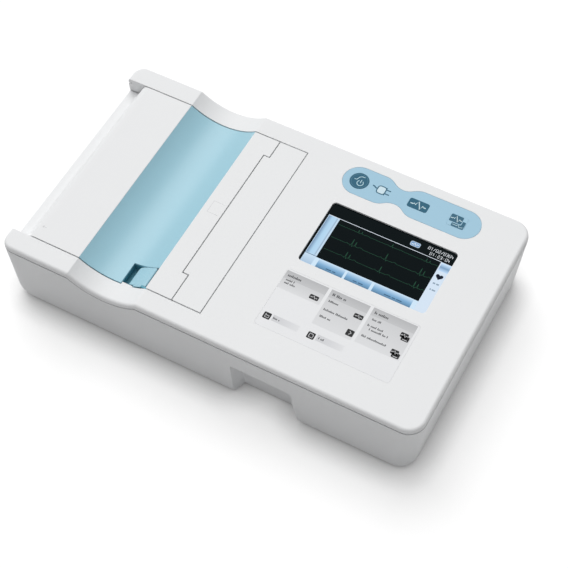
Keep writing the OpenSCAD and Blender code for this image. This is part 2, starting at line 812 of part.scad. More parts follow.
// Screened patient amplifier behind the patient socket
module ecg_front_end() {
    color(steel) block([patient_x - 24, 18, floor_z], [patient_x + 24, bay_y - bay_wall - 5, floor_z + 24]);
}

// Mains power supply behind the inlet
module power_supply() {
    color("#8d9096") block([inlet_x - 22, 14, floor_z],
        [inlet_x + 22, inlet_y1 - inlet_d - 8, floor_z + 26]);
}

module speaker() {
    x = grip_x0 + 24;
    y = grip_y + 26;
    color(black) {
        rod_z(x, y, 14, floor_z, floor_z + 2);
        rod_z(x, y, 8, floor_z + 2 - eps, floor_z + 7);
    }
}

// Mains inlet: a box with a deep opening to the back
module mains_inlet() {
    module shell(g, y0, y1) {
        block([inlet_x - inlet_w / 2 - g, y0, bay_mid_z - inlet_h / 2 - g],
            [inlet_x + inlet_w / 2 + g, y1, bay_mid_z + inlet_h / 2 + g]);
    }
    color(black) difference() {
        union() {
            shell(0, inlet_y1 - inlet_d - 3, inlet_y1);
            shell(inlet_rim, bay_y, inlet_y1);
        }
        shell(-inlet_wall, inlet_y1 - inlet_d, inlet_y1 + 1);
    }
}

module inlet_pins() {
    y0 = inlet_y1 - inlet_d;
    color(steel) for (p = [[-7, -2.5], [7, -2.5], [0, 3]]) translate([inlet_x + p[0], y0, bay_mid_z + p[1]])
        block([-1, 0, -2], [1, 11, 2]);
}

// USB socket: a steel shell with a tongue inside
module usb_port(x) {
    y1 = bay_y + 1;
    color(steel) {
        difference() {
            block([x - usb_w / 2, y1 - usb_d, bay_mid_z - usb_h / 2],
                [x + usb_w / 2, y1, bay_mid_z + usb_h / 2]);
            block([x - usb_w / 2 + usb_shell, y1 - usb_d + 2, bay_mid_z - usb_h / 2 + usb_shell],
                [x + usb_w / 2 - usb_shell, y1 + 1, bay_mid_z + usb_h / 2 - usb_shell]);
        }
        block([x - 5.5, y1 - usb_d + 1, bay_mid_z + 0.3], [x + 5.5, y1 - 1, bay_mid_z + 2.1]);
    }
}

module usb_host_port() {
    usb_port(host_x);
}

module usb_device_port() {
    usb_port(device_x);
}

// Patient lead socket: a plate with a D shaped block and fifteen contacts
module patient_socket() {
    color(steel) difference() {
        union() {
            block([patient_x - plate_w / 2, bay_y, bay_mid_z - plate_h / 2],
                [patient_x + plate_w / 2, bay_y + 1, bay_mid_z + plate_h / 2]);
            translate([patient_x, bay_y - bay_wall - 3, bay_mid_z]) rotate([-90, 0, 0])
                linear_extrude(bay_wall + 3 + 2.6) polygon([
                    [-dsub_w / 2, -dsub_h / 2], [dsub_w / 2, -dsub_h / 2],
                    [dsub_w / 2 - 1.4, dsub_h / 2], [-dsub_w / 2 + 1.4, dsub_h / 2]]);
        }
        for (i = [0 : 7]) contact(i - 3.5, 1.42);
        for (i = [0 : 6]) contact(i - 3, -1.42);
    }
    module contact(i, z) {
        translate([patient_x + 2.74 * i, bay_y - 1, bay_mid_z + z]) rotate([-90, 0, 0])
            cylinder(r = 0.55, h = 5, $fn = 8);
    }
}

// Jack posts on both sides of the patient socket
module socket_posts() {
    color(steel) for (s = [-1, 1])
        translate([patient_x + s * 16.6, bay_y + 1, bay_mid_z]) rotate([-90, 0, 0]) difference() {
            cylinder(r = 2.8, h = 4.5, $fn = 6);
            translate([0, 0, 1]) cylinder(r = 1.4, h = 5, $fn = 12);
        }
}

// Potential equalisation pin with a hexagon collar
module equaliser_pin() {
    color("#d8b24a") {
        rod_y(stud_x, bay_mid_z, stud_r, bay_y - bay_wall - 3, bay_y + stud_collar + stud_l);
        translate([stud_x, bay_y, bay_mid_z]) rotate([-90, 0, 0])
            cylinder(r = stud_r + 2.4, h = stud_collar, $fn = 6);
    }
}

module touch_glass() {
    color(black) pad(display_x, display_y, glass_w, glass_h, window_r, glass_top_z - glass_t, glass_top_z);
}

module lcd_module() {
    color("#4d6b7d") pad(display_x, display_y, lcd_w, lcd_h, 1, lcd_z, lcd_z + lcd_t);
}

// Steel tray under the display with an ear at each corner that meets the top plate
module display_frame() {
    x1 = lcd_w / 2 + slide_gap;
    y1 = lcd_h / 2;
    color(steel) difference() {
        union() {
            pad(display_x, display_y, frame_w, lcd_h, 1, lcd_z - frame_floor_t, lcd_z);
            for (i = [-1, 1], j = [-1, 1]) translate([display_x, display_y, 0])
                block([i > 0 ? x1 : -x1 - frame_ear, j > 0 ? y1 - frame_ear : -y1, lcd_z - eps],
                    [i > 0 ? x1 + frame_ear : -x1, j > 0 ? y1 : -y1 + frame_ear, ceil_z]);
        }
        display_ears() rod_z(0, 0, small_screw_r + run_fit, 0, big);
    }
}

// Places its children at the four ears of the display frame
module display_ears() {
    for (i = [-1, 1], j = [-1, 1])
        translate([display_x + i * (lcd_w / 2 + slide_gap + frame_ear / 2),
            display_y + j * (lcd_h / 2 - frame_ear / 2), 0]) children();
}

module display_screws() {
    seat_z = lcd_z - frame_floor_t;
    color(steel) display_ears()
        screw_up(0, 0, seat_z, small_screw_r, ceil_z - 0.5 - seat_z, small_head_r, small_head_h);
}

// Printed film over the keys
module keypad_overlay() {
    color(pale_blue) difference() {
        translate([0, 0, top_z - overlay_t]) linear_extrude(overlay_t) keypad_plan(0);
        key_prisms(key_gap, ceil_z, top_z + 1);
    }
}

module switch_board() {
    color(board_green) block([keypad_x0 + 0.5, keypad_y - lobe_r + 1, switch_z],
        [lobe_b_x0 + lobe_b_l - 0.5, keypad_y + lobe_r - 1, switch_z + board_t]);
}

module switch_domes() {
    color(steel) for (x = [power_x, auto_x, rhythm_x])
        rod_z(x, keypad_y, 3, switch_z + board_t, switch_z + board_t + dome_h);
}

// Light pipe of the mains lamp, from the switch board to the overlay
module mains_lamp() {
    color("#d9f2e0") rod_z(lamp_x, keypad_y, lamp_r, switch_z + board_t, top_z - overlay_t);
}

module instruction_label() {
    color("#dfe1e3") pad(display_x, label_y, label_w, label_h, label_r, top_z - label_t, top_z);
}

module power_key() {
    color(teal) {
        power_prism(0, key_flange_z + 0.1, top_z + key_proud);
        power_prism(key_gap + key_flange, key_flange_z, ceil_z - key_gap);
        rod_z(power_x, keypad_y, key_stem_r, key_foot_z, ceil_z);
    }
}

module auto_key() {
    color(teal) {
        auto_prism(0, key_flange_z + 0.1, top_z + key_proud);
        auto_prism(key_gap + key_flange, key_flange_z, ceil_z - key_gap);
        rod_z(auto_x, keypad_y, key_stem_r, key_foot_z, ceil_z);
    }
}

module rhythm_key() {
    color(teal) {
        rhythm_prism(0, key_flange_z + 0.1, top_z + key_proud);
        rhythm_prism(key_gap + key_flange, key_flange_z, ceil_z - key_gap);
        rod_z(rhythm_x, keypad_y, key_stem_r, key_foot_z, ceil_z);
    }
}

// Fixed white strip over the print head, with a tongue that forms one side of the paper slot
module head_strip() {
    color(white) {
        block([cover_x + shadow_gap / 2, -cover_half, ceil_z],
            [strip_x - shadow_gap / 2, cover_half, top_z]);
        block([slot_x + shadow_gap / 2, slot_y0, ceil_z], [cover_x + 2, slot_y1, top_z]);
    }
}

// Steel tear edge under the tongue of the strip
module tear_bar() {
    color(steel) block([slot_x + shadow_gap / 2 + 0.3, slot_y0 + 0.6, ceil_z - 0.6],
        [cover_x - 1, slot_y1 - 0.6, ceil_z]);
}

// Folded steel frame that carries the motor, the idler and the print head
module drive_frame() {
    top = head_top_z;
    color(steel) difference() {
        union() {
            block([frame_x0, frame_y0, frame_base_z], [frame_x1, frame_y1, frame_base_z + frame_t]);
            block([frame_x0, frame_y0, frame_base_z + eps], [frame_x1, frame_y0 + frame_t, top]);
            block([frame_x0, frame_y1 - frame_t, frame_base_z + eps], [frame_x1, frame_y1, top]);
            block([back_plate_x, frame_y0 + eps, spring_z - spring_r - 0.6],
                [back_plate_x + frame_t, frame_y1 - eps, top]);
        }
        rod_y(head_pin_x, head_pin_z, head_pin_r + fix_fit, frame_y0 - 1, frame_y1 + 1);
        rod_y(idler_x, platen_z, idler_pin_r + fix_fit, frame_y0 - 1, frame_y0 + frame_t + 1);
        rod_y(pinion_x, pinion_z, 3, frame_y0 - 1, frame_y0 + frame_t + 1);
        for (p = frame_feet) rod_z(p[0], p[1], small_screw_r + run_fit, 0, frame_base_z + frame_t + 1);
    }
}

module frame_screws() {
    z = frame_base_z + frame_t;
    color(steel) for (p = frame_feet) screw_down(p[0], p[1], z, z - floor_z + 0.5);
}

module motor_can() {
    color("#5b5f66") difference() {
        rod_y(pinion_x, pinion_z, motor_r, motor_y, motor_y + motor_l);
        rod_y(pinion_x, pinion_z, motor_shaft_r + run_fit, motor_y - 1, motor_y + motor_l - 4);
    }
}

module motor_shaft() {
    color(steel) rod_y(pinion_x, pinion_z, motor_shaft_r, gear_y - gear_w - 0.5, motor_y + motor_l - 4.5);
}

module motor_pinion() {
    color("#d8b24a") gear_y(pinion_teeth, pinion_x, pinion_z, gear_y, pinion_turn, motor_shaft_r + fix_fit);
}

// Stub shaft of the idler with a collar that keeps the gear on
module idler_pin() {
    collar_y = gear_y - gear_w - slide_gap;
    color(steel) {
        rod_y(idler_x, platen_z, idler_pin_r, collar_y - 1, frame_y0 + frame_t);
        rod_y(idler_x, platen_z, idler_pin_r + 1, collar_y - 1, collar_y);
    }
}

module idler_gear() {
    color("#e6e0cf") gear_y(idler_teeth, idler_x, platen_z, gear_y, idler_turn, idler_pin_r + run_fit);
}

// Pivot rod of the print head across the drive frame
module head_pin() {
    color(steel) rod_y(head_pin_x, head_pin_z, head_pin_r, frame_y0, frame_y1);
}

// Aluminium carrier of the print head, turning on the pivot rod
module head_heatsink() {
    color("#c9ccd0") difference() {
        union() {
            block([sink_x, head_y0, head_pin_z], [sink_x + sink_t, head_y1, head_top_z]);
            rod_y(head_pin_x, head_pin_z, sink_t / 2, head_y0, head_y1);
        }
        rod_y(head_pin_x, head_pin_z, head_pin_r + run_fit, head_y0 - 1, head_y1 + 1);
    }
}

module head_ceramic() {
    color("#e4ddd0") block([head_x, head_y0 + 1, head_pin_z + 3], [sink_x, head_y1 - 1, head_top_z - 1]);
}

// Two springs that press the print head towards the platen
module head_springs() {
    x0 = sink_x + sink_t + 0.1;
    color(steel) for (y = [paper_off - 30, paper_off + 30])
        translate([x0, y, spring_z]) rotate([0, 90, 0]) coil(spring_r, 0.35, back_plate_x - 0.1 - x0, 4);
}

// Open tray for the folded paper, standing on the floor
module paper_tray() {
    y0 = slot_y0 - tray_wall;
    y1 = slot_y1 + tray_wall;
    color(white) {
        difference() {
            block([tray_x0, y0, tray_z], [tray_x1, y1, tray_top_z]);
            block([tray_x0 + tray_wall, slot_y0, tray_z + tray_wall], [tray_x1 - tray_wall, slot_y1, big]);
            // the right wall is lower, where the paper leaves
            block([tray_x1 - tray_wall - 1, slot_y0, tray_top_z - 8], [big, slot_y1, big]);
        }
        for (x = [tray_x0 + 6, tray_x1 - 10], y = [y0 + 8, y1 - 12])
            block([x, y, floor_z], [x + 4, y + 4, tray_z + eps]);
    }
}

// Folded chart paper lying in the tray
module paper_pack() {
    color("#f3e9e6") block([tray_x0 + tray_wall + 0.5, paper_off - paper_w / 2, tray_z + tray_wall],
        [tray_x0 + tray_wall + 0.5 + sheet_l, paper_off + paper_w / 2, tray_z + tray_wall + pack_h]);
}

// Tab on the front arm under which the latch snaps
module latch_strike() {
    color(white) block([pocket_x0 + 0.5, -bay_half, lane_z - 2], [lever_x0 + 3.5, strike_y1, lane_z - 0.4]);
}

// Sliding paper cover: brow, ledge and end wall at the left, seat of the scoop, platen ears
module paper_cover() {
    in_z = top_z - cover_t;
    ledge_z = top_z - ledge_drop;
    end_x = left_x + shadow_gap;
    brow_x = left_x + brow_l;
    // side view of the sheet from the right edge over the brow to the foot of the end wall
    sheet = concat(
        [[cover_x - shadow_gap / 2, in_z], [cover_x - shadow_gap / 2, top_z], [brow_x, top_z]],
        [[brow_x - 2.2, top_z - 0.8], [brow_x - 3.7, top_z - 2.6], [left_x + ledge_l + 1.1, ledge_z + 1.2]],
        [[left_x + ledge_l, ledge_z], [end_x + 1, ledge_z], [end_x, ledge_z - 1]],
        [[end_x + 1.2, sill_z + 1], [end_x + 1.2 + cover_t, sill_z + 1]],
        [[end_x + cover_t, ledge_z - cover_t]],
        [[left_x + ledge_l + 3.6, ledge_z - cover_t], [brow_x - 1.6, top_z - 4.2], [brow_x - 0.4, in_z]]
    );
    module side_sheet(points, y0, y1) {
        translate([0, y1, 0]) rotate([90, 0, 0]) linear_extrude(y1 - y0) polygon(points);
    }
    color(white) difference() {
        union() {
            side_sheet(sheet, -cover_half, cover_half);
            // round floor of the trough under the scoop panel
            intersection() {
                difference() {
                    trough(wave_r + scoop_t + cover_t);
                    block([-big, -big, in_z + eps], [big, big, big]);
                }
                block([-big, -cover_half, 0], [big, cover_half, big]);
            }
            // side flanges and the runners on them
            side_blocks(brow_x, cover_x - 2, flange_y, flange_y + flange_t, cover_low_z, in_z + eps);
            side_blocks(brow_x, cover_x - 2, flange_y, bay_half + runner_reach,
                runner_z, runner_z + runner_h);
            // ears that carry the platen
            for (y = [ear_front_y - ear_t, ear_back_y])
                block([platen_x - 7, y, platen_z - 6], [ear_x1, y + ear_t, in_z + eps]);
        }
        trough(wave_r);
        intersection() {
            trough(wave_r + scoop_t);
            block([scoop_x0 - fix_fit, -big, 0], [scoop_x1 + fix_fit, big, big]);
        }
        // recess for the strip's tongue, which leaves the paper slot
        block([slot_x - shadow_gap / 2, slot_y0 - shadow_gap, in_z - 1], [big, slot_y1 + shadow_gap, big]);
        // room for the latch pocket
        block([pocket_x0 - pocket_t - fix_fit, -big, pocket_z - pocket_t - fix_fit],
            [scoop_x1 + pocket_t + fix_fit, pocket_y1 + pocket_back + fix_fit, big]);
        rod_y(platen_x, platen_z, bush_r + fix_fit, -big, big);
    }
}

// Blue trough panel with the pocket of the latch hanging under its front right corner
module scoop_panel() {
    module sheet() {
        intersection() {
            trough(wave_r + scoop_t - fix_fit);
            block([scoop_x0, -cover_half, 0], [scoop_x1, cover_half, top_z + 1]);
        }
    }
    module pocket() {
        block([pocket_x0 - pocket_t, pocket_y0, pocket_z - pocket_t],
            [scoop_x1 + pocket_t, pocket_y1 + pocket_back, top_z - 0.2]);
    }
    color(pale_blue) difference() {
        union() {
            difference() {
                union() {
                    sheet();
                    pocket();
                }
                trough(wave_r);
                block([pocket_x0, -big, pocket_z], [scoop_x1, pocket_y1, big]);
            }
            // front ear of the latch pin
            block([latch_x - 2, pocket_y0, latch_z - 2], [scoop_x1 + 0.5, lever_y0 - 0.2, latch_z + 1.2]);
        }
        // lane of the strike below the front ear
        block([pocket_x0 + 1, -big, lane_z - 2.6], [big, strike_y1 + slide_gap, lane_z + 0.2]);
        rod_y(latch_x, latch_z, latch_pin_r + fix_fit, -big, pocket_y1 + pocket_back - 0.5);
    }
}

// Plain bearings of the platen in the ears
module platen_bushes() {
    color("#6d5a33") for (y = [ear_front_y - ear_t, ear_back_y]) difference() {
        rod_y(platen_x, platen_z, bush_r, y, y + ear_t);
        rod_y(platen_x, platen_z, journal_r + run_fit, y - 1, y + ear_t + 1);
    }
}

module platen_shaft() {
    color(steel) {
        rod_y(platen_x, platen_z, journal_r, gear_y - gear_w, ear_back_y + ear_t + 0.5);
        rod_y(platen_x, platen_z, journal_r + 1, slot_y0 + 0.5, slot_y1 - 0.5);
    }
}

module platen_rubber() {
    color(black) difference() {
        rod_y(platen_x, platen_z, platen_r, slot_y0 + 1.5, slot_y1 - 1.5);
        rod_y(platen_x, platen_z, journal_r + 1 + fix_fit, -big, big);
    }
}

module platen_gear() {
    color("#e6e0cf") gear_y(platen_teeth, platen_x, platen_z, gear_y, 0, journal_r + fix_fit);
}

// Ribbed lever in the pocket: pressed down it turns about the pin at its right end
module latch_lever() {
    color(pale_blue) difference() {
        union() {
            translate([0, lever_y1, 0]) rotate([90, 0, 0]) linear_extrude(lever_y1 - lever_y0) polygon([
                [lever_x1, top_z - 0.6], [lever_x0, lever_tip_z + lever_t], [lever_x0, lever_tip_z],
                [latch_x - 3.5, latch_z - 3], [latch_x, latch_z - 2.1], [lever_x1, latch_z - 1]]);
            rod_y(latch_x, latch_z, 2.1, lever_y0, lever_y1);
        }
        rod_y(latch_x, latch_z, latch_pin_r + run_fit, -big, big);
    }
}

module latch_pin() {
    color(steel) rod_y(latch_x, latch_z, latch_pin_r, pocket_y0 + 0.3, pocket_y1 + pocket_back - 0.6);
}

// Return spring between the floor of the pocket and the lever
module latch_spring() {
    color(steel) translate([lever_x0 + 3.3, (lever_y0 + lever_y1) / 2, pocket_z])
        coil(spring_r, 0.3, lever_tip_z + 0.3 - pocket_z, 3);
}

bottom_shell();
top_shell();
rubber_feet();
case_screws();
battery_door();
door_screws();
battery_pack();
main_board();
board_chips();
board_screws();
ecg_front_end();
power_supply();
speaker();
mains_inlet();
inlet_pins();
usb_host_port();
usb_device_port();
patient_socket();
socket_posts();
equaliser_pin();
touch_glass();
lcd_module();
display_frame();
display_screws();
keypad_overlay();
switch_board();
switch_domes();
mains_lamp();
instruction_label();
power_key();
auto_key();
rhythm_key();
head_strip();
tear_bar();
drive_frame();
frame_screws();
motor_can();
motor_shaft();
motor_pinion();
idler_pin();
idler_gear();
head_pin();
head_heatsink();
head_ceramic();
head_springs();
paper_tray();
paper_pack();
latch_strike();
paper_cover();
scoop_panel();
platen_bushes();
platen_shaft();
platen_rubber();
platen_gear();
latch_lever();
latch_pin();
latch_spring();
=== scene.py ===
"""Looks of a portable ECG recorder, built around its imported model, with its studio and camera.

Sizes are in millimetres in the part's own frame until a mesh is written, which is in metres.
Nodes of materials work in metres.
"""

import bmesh
import bpy
import numpy as np
from mathutils import Matrix, Vector
from mathutils.geometry import delaunay_2d_cdt


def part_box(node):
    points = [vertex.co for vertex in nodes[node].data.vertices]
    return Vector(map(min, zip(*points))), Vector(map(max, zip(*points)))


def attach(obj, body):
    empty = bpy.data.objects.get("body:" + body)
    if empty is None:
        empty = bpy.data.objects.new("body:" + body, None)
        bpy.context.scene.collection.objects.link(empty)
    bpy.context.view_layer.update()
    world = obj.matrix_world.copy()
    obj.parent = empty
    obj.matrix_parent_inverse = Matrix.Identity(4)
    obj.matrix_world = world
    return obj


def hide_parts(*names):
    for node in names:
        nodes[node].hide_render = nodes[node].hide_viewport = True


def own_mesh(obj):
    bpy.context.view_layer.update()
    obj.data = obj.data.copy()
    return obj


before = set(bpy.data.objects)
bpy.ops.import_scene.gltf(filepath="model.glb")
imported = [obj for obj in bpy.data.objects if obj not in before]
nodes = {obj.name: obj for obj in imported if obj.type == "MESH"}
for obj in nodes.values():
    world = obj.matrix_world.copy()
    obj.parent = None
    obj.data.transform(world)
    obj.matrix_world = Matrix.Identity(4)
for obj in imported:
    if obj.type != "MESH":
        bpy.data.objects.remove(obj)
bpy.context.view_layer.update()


# Camera: a long lens to the right of the machine and well above it, rolled a little.
# Its place and turn come from the case's straight edges in the photograph.
azimuth, elevation, roll = np.radians([30.618, 56.739, -2.4224])
right = np.array([np.cos(azimuth), np.sin(azimuth), 0])
back = np.array([np.sin(azimuth) * np.cos(elevation), -np.cos(azimuth) * np.cos(elevation),
                 np.sin(elevation)])
up = np.cross(back, right)
axes = [np.cos(roll) * right + np.sin(roll) * up, np.cos(roll) * up - np.sin(roll) * right, back]
scene = bpy.context.scene
lens = bpy.data.cameras.new("photo_camera")
lens.lens, lens.sensor_width = 93.81, 36.0
camera = bpy.data.objects.new("photo_camera", lens)
turned = Matrix(np.array(axes).T.tolist()).to_4x4()
camera.matrix_world = Matrix.Translation((0.31587, -0.51236, 0.91547)) @ turned
scene.collection.objects.link(camera)
scene.camera = camera


# Lower housing: a white ABS moulding with a fine eroded texture. It is the floor and the outer
# walls, with the printer bay's walls, the grip recess, the rear bay and the screw posts moulded in.
class Wire:
    """A socket of a node tree. Sums, products and comparisons of wires and numbers add Math nodes."""

    def __init__(self, tree, socket=None):
        self.tree, self.socket = tree, socket

    def add(self, kind, inputs, out=0, **settings):
        """Any node: its settings are set first, then its sockets take numbers, colours or wires."""
        node = self.tree.nodes.new(kind)
        for name, value in settings.items():
            setattr(node, name, value)
        for key, value in inputs.items():
            self.feed(value, node.inputs[key])
        return Wire(self.tree, node.outputs[out])

    def feed(self, value, socket):
        """Links a wire to a socket, or sets the socket's own value."""
        if isinstance(value, Wire):
            self.tree.links.new(value.socket, socket)
        else:
            socket.default_value = value

    def math(self, operation, other=0.0, swapped=False):
        """A Math node on this wire and another wire or number, in either order."""
        pair = (other, self) if swapped else (self, other)
        return self.add("ShaderNodeMath", dict(enumerate(pair)), operation=operation)

    def __add__(self, other): return self.math("ADD", other)
    def __sub__(self, other): return self.math("SUBTRACT", other)
    def __rsub__(self, other): return self.math("SUBTRACT", other, True)
    def __mul__(self, other): return self.math("MULTIPLY", other)
    def __mod__(self, other): return self.math("FLOORED_MODULO", other)
    def __rmod__(self, other): return self.math("FLOORED_MODULO", other, True)
    def __lt__(self, other): return self.math("LESS_THAN", other)
    def __gt__(self, other): return self.math("GREATER_THAN", other)
    def __abs__(self): return self.math("ABSOLUTE")
    __radd__, __rmul__ = __add__, __mul__

    def noise(self, scale, detail=2.0):
        """Noise of scale cells per metre at this place."""
        return self.add("ShaderNodeTexNoise", {"Vector": self, "Scale": scale, "Detail": detail})

    def axis(self, number):
        """One coordinate of this place: 0, 1 and 2 are X, Y and Z."""
        return self.add("ShaderNodeSeparateXYZ", {0: self}, out=number)

    def stretched(self, scale):
        """This place with each coordinate multiplied by its own scale."""
        return self.add("ShaderNodeMapping", {"Vector": self, "Scale": scale})

    def mix(self, first, second):
        """Colour between first, where this wire is 0, and second, where it is 1."""
        return self.add("ShaderNodeMix", {0: self, 6: first, 7: second}, out=2, data_type="RGBA")


def colour(code, gain=1.0):
    """Linear RGBA of a display colour such as #ecedee, by the sRGB curve, times a gain."""
    value = np.array([int(code[i:i + 2], 16) for i in (1, 3, 5)]) / 255
    value = np.where(value > 0.04045, ((value + 0.055) / 1.055) ** 2.4, value / 12.92)
    return (*np.clip(value * gain, 0, 1), 1.0)


def finish(name, code, rough, grain, depth, mottle=0.02, stretch=(1, 1, 1), paint=None, **sockets):
    """Material of one plastic, metal or paper. A broad noise shifts its colour by mottle and its
    roughness; a fine noise of grain cells per metre is its texture, depth metres deep. stretch
    draws the fine noise out into brush lines. paint gives the base colour from the place."""
    broad_cells, broad_swing, fine_swing, relief = 45, 0.1, 0.08, 0.5
    material = bpy.data.materials.new(name)
    material.use_nodes = True
    tree = material.node_tree
    shader = tree.nodes["Principled BSDF"]
    for key, value in sockets.items():
        shader.inputs[key.replace("_", " ")].default_value = value
    place = Wire(tree).add("ShaderNodeTexCoord", {}, out="Object")
    broad = place.noise(broad_cells, 3)
    fine = place.stretched(stretch).noise(grain)
    base = paint(place) if paint else broad.mix(colour(code, 1 - mottle), colour(code, 1 + mottle))
    place.feed(base, shader.inputs["Base Color"])
    roughness = rough + (broad - 0.5) * broad_swing + (fine - 0.5) * fine_swing
    place.feed(roughness, shader.inputs["Roughness"])
    bump = place.add("ShaderNodeBump", {"Strength": relief, "Distance": depth, "Height": fine})
    place.feed(bump, shader.inputs["Normal"])
    return material


def place_piece(mesh, name, material, body, replaced):
    """Object of a finished mesh that rides on a body and stands for the CAD nodes it replaces."""
    mesh.materials.append(material)
    item = bpy.data.objects.new(name, mesh)
    scene.collection.objects.link(item)
    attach(item, body)
    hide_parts(*replaced)
    return item


def shade(form, mesh, crease):
    """Smooth shading, with edges sharper than crease degrees kept hard."""
    for face in form.faces:
        face.smooth = True
    for edge in form.edges:
        edge.smooth = bool(edge.calc_face_angle(0.0) < np.radians(crease))
    form.to_mesh(mesh)
    form.free()


def flats(item):
    """Face weighted normals, so that flats beside a rounding stay flat."""
    item.modifiers.new("flats", "WEIGHTED_NORMAL").keep_sharp = True


def dress(material, *names):
    """Gives CAD nodes that keep their shape their finish."""
    for name in names:
        nodes[name].material_slots[0].material = material


white_abs = finish("white_abs", "#eeeff0", 0.5, 2600, 4e-5, 0.006, Specular_IOR_Level=0.3)
weld = 2e-6  # metres: points closer than this are one
form = bmesh.new()
form.from_mesh(nodes["bottom_shell"].data)
bmesh.ops.remove_doubles(form, verts=form.verts, dist=weld)
mesh = bpy.data.meshes.new("lower_housing")
shade(form, mesh, 28)
flats(place_piece(mesh, "lower_housing", white_abs, "case", ["bottom_shell"]))
dress(white_abs, "battery_door", "latch_strike")


# Feet and screws: black rubber discs with a rounded tread edge, pressed into seats in the floor,
# and plated steel screws in the floor, the boards and the frames.
def grid(rows, columns, wrap):
    """Corner numbers of the quads between the points of a rows by columns grid."""
    row = np.arange(rows - 1)[:, None] * columns
    column = np.arange(columns if wrap else columns - 1)
    after = (column + 1) % columns
    corners = [row + column, row + after, row + after + columns, row + column + columns]
    return np.stack(corners, -1).reshape(-1, 4)


def skin(outline, profile, wrap=True):
    """A profile carried along a path: ring i is the outline grown by the profile's i-th growth, at
    its i-th height."""
    rings = np.stack([np.insert(outline(grow), 2, height, axis=1) for grow, height in profile])
    return rings.reshape(-1, 3), [grid(*rings.shape[:2], wrap)]


def eased(low, high, edge, steps):
    """Profile of a wall from low to high, with a quarter round of radius edge at its top."""
    turn = np.linspace(0, np.pi / 2, steps)
    return [(0, low), *zip(edge * (np.cos(turn) - 1), high + edge * (np.sin(turn) - 1))]


def slab(outline, low, high, edge):
    """A flat piece: its wall, eased at the top, and both faces."""
    points, faces = skin(outline, eased(low, high, edge, 5))
    count = len(outline(0))
    ends = [np.arange(count)[None, ::-1], np.arange(len(points) - count, len(points))[None]]
    return points, faces + ends


def circle(x, y, radius, count=48):
    """Circle about (x, y); grown by g its radius is radius + g."""
    angle = np.linspace(0, 2 * np.pi, count, endpoint=False)
    return lambda grow: np.column_stack([x + (radius + grow) * np.cos(angle),
                                         y + (radius + grow) * np.sin(angle)])


def joined(name, parts):
    """One mesh, in metres, of (points, faces) parts laid one after another."""
    starts = np.cumsum([0] + [len(points) for points, _ in parts])
    faces = [face for (_, groups), start in zip(parts, starts)
             for group in groups for face in (group + start).tolist()]
    mesh = bpy.data.meshes.new(name)
    mesh.from_pydata((np.concatenate([points for points, _ in parts]) / 1000).tolist(), [], faces)
    return mesh


def build(name, parts, material, body, replaced=(), crease=35):
    """A piece of (points, faces) parts: points that meet are merged, and all faces turn outwards."""
    mesh = joined(name, parts)
    form = bmesh.new()
    form.from_mesh(mesh)
    bmesh.ops.remove_doubles(form, verts=form.verts, dist=weld)
    bmesh.ops.recalc_face_normals(form, faces=form.faces)
    shade(form, mesh, crease)
    item = place_piece(mesh, name, material, body, replaced)
    flats(item)
    return item


rubber = finish("rubber", "#232424", 0.75, 1800, 8e-5, 0.05)
foot_low, foot_high = (np.array(corner) * 1000 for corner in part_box("rubber_feet"))
foot_r, tread_r = 7.0, 0.8
feet = []
for foot_x in (foot_low[0] + foot_r, foot_high[0] - foot_r):
    for foot_y in (foot_low[1] + foot_r, foot_high[1] - foot_r):
        points, faces = slab(circle(foot_x, foot_y, foot_r), foot_low[2], foot_high[2], tread_r)
        points[:, 2] = foot_low[2] + foot_high[2] - points[:, 2]
        feet.append((points, faces))
build("foot_pads", feet, rubber, "case", ["rubber_feet"])
steel = finish("steel", "#b4b8bd", 0.32, 900, 1e-5, 0.03, (1, 1, 14), Metallic=1.0)
dress(steel, "case_screws", "door_screws", "board_screws", "display_screws", "frame_screws")


# Inside the right half: a shrink wrapped battery on its door, green circuit boards with black
# chips, a screened amplifier, a potted supply and a loudspeaker.
def tracks(place):
    """Solder mask with paler copper tracks: two families of thin stripes, each the places within a
    width of the middle of a step, masked by a coarse noise."""
    mask_green, copper_green, width = "#1f5a3a", "#3f8a5c", 0.0003
    lane = abs(place.axis(0) % 0.0032 - 0.0016) < width
    cross = abs(place.axis(1) % 0.0041 - 0.002) < width
    patch = place.noise(90, 1) > 0.5
    return (lane * patch + cross * (1 - patch)).mix(colour(mask_green), colour(copper_green))


def wrapped(place):
    """Blue wrap with a pale band: the heights within 4 mm of the middle of the pack."""
    middle, band = 0.016, 0.004
    return (abs(place.axis(2) - middle) < band).mix(colour("#2b3c66"), colour("#c9ced8"))


circuit_board = finish("circuit_board", "#1f5a3a", 0.35, 1500, 1e-5, paint=tracks)
black_plastic = finish("black_plastic", "#202226", 0.45, 2400, 4e-5, 0.05)
aluminium = finish("aluminium", "#c4c7cb", 0.38, 700, 1e-5, 0.03, (1, 18, 1), Metallic=1.0)
battery_wrap = finish("battery_wrap", "#2b3c66", 0.3, 300, 3e-5, paint=wrapped)
supply_block = finish("supply_block", "#77797e", 0.6, 1200, 6e-5, 0.05)
dress(battery_wrap, "battery_pack")
dress(circuit_board, "main_board", "switch_board")
dress(black_plastic, "board_chips", "speaker")
dress(aluminium, "ecg_front_end")
dress(supply_block, "power_supply")
dress(steel, "display_frame", "switch_domes")


# Rear connectors: a black mains inlet with steel pins, steel USB and patient sockets with jack
# posts, and a brass potential equalisation pin, all fixed to the wall of the rear bay.
brass = finish("brass", "#c3a35f", 0.3, 900, 1e-5, 0.03, (1, 14, 1), Metallic=1.0)
dress(black_plastic, "mains_inlet")
dress(steel, "inlet_pins", "usb_host_port", "usb_device_port", "patient_socket", "socket_posts")
dress(brass, "equaliser_pin", "motor_pinion")


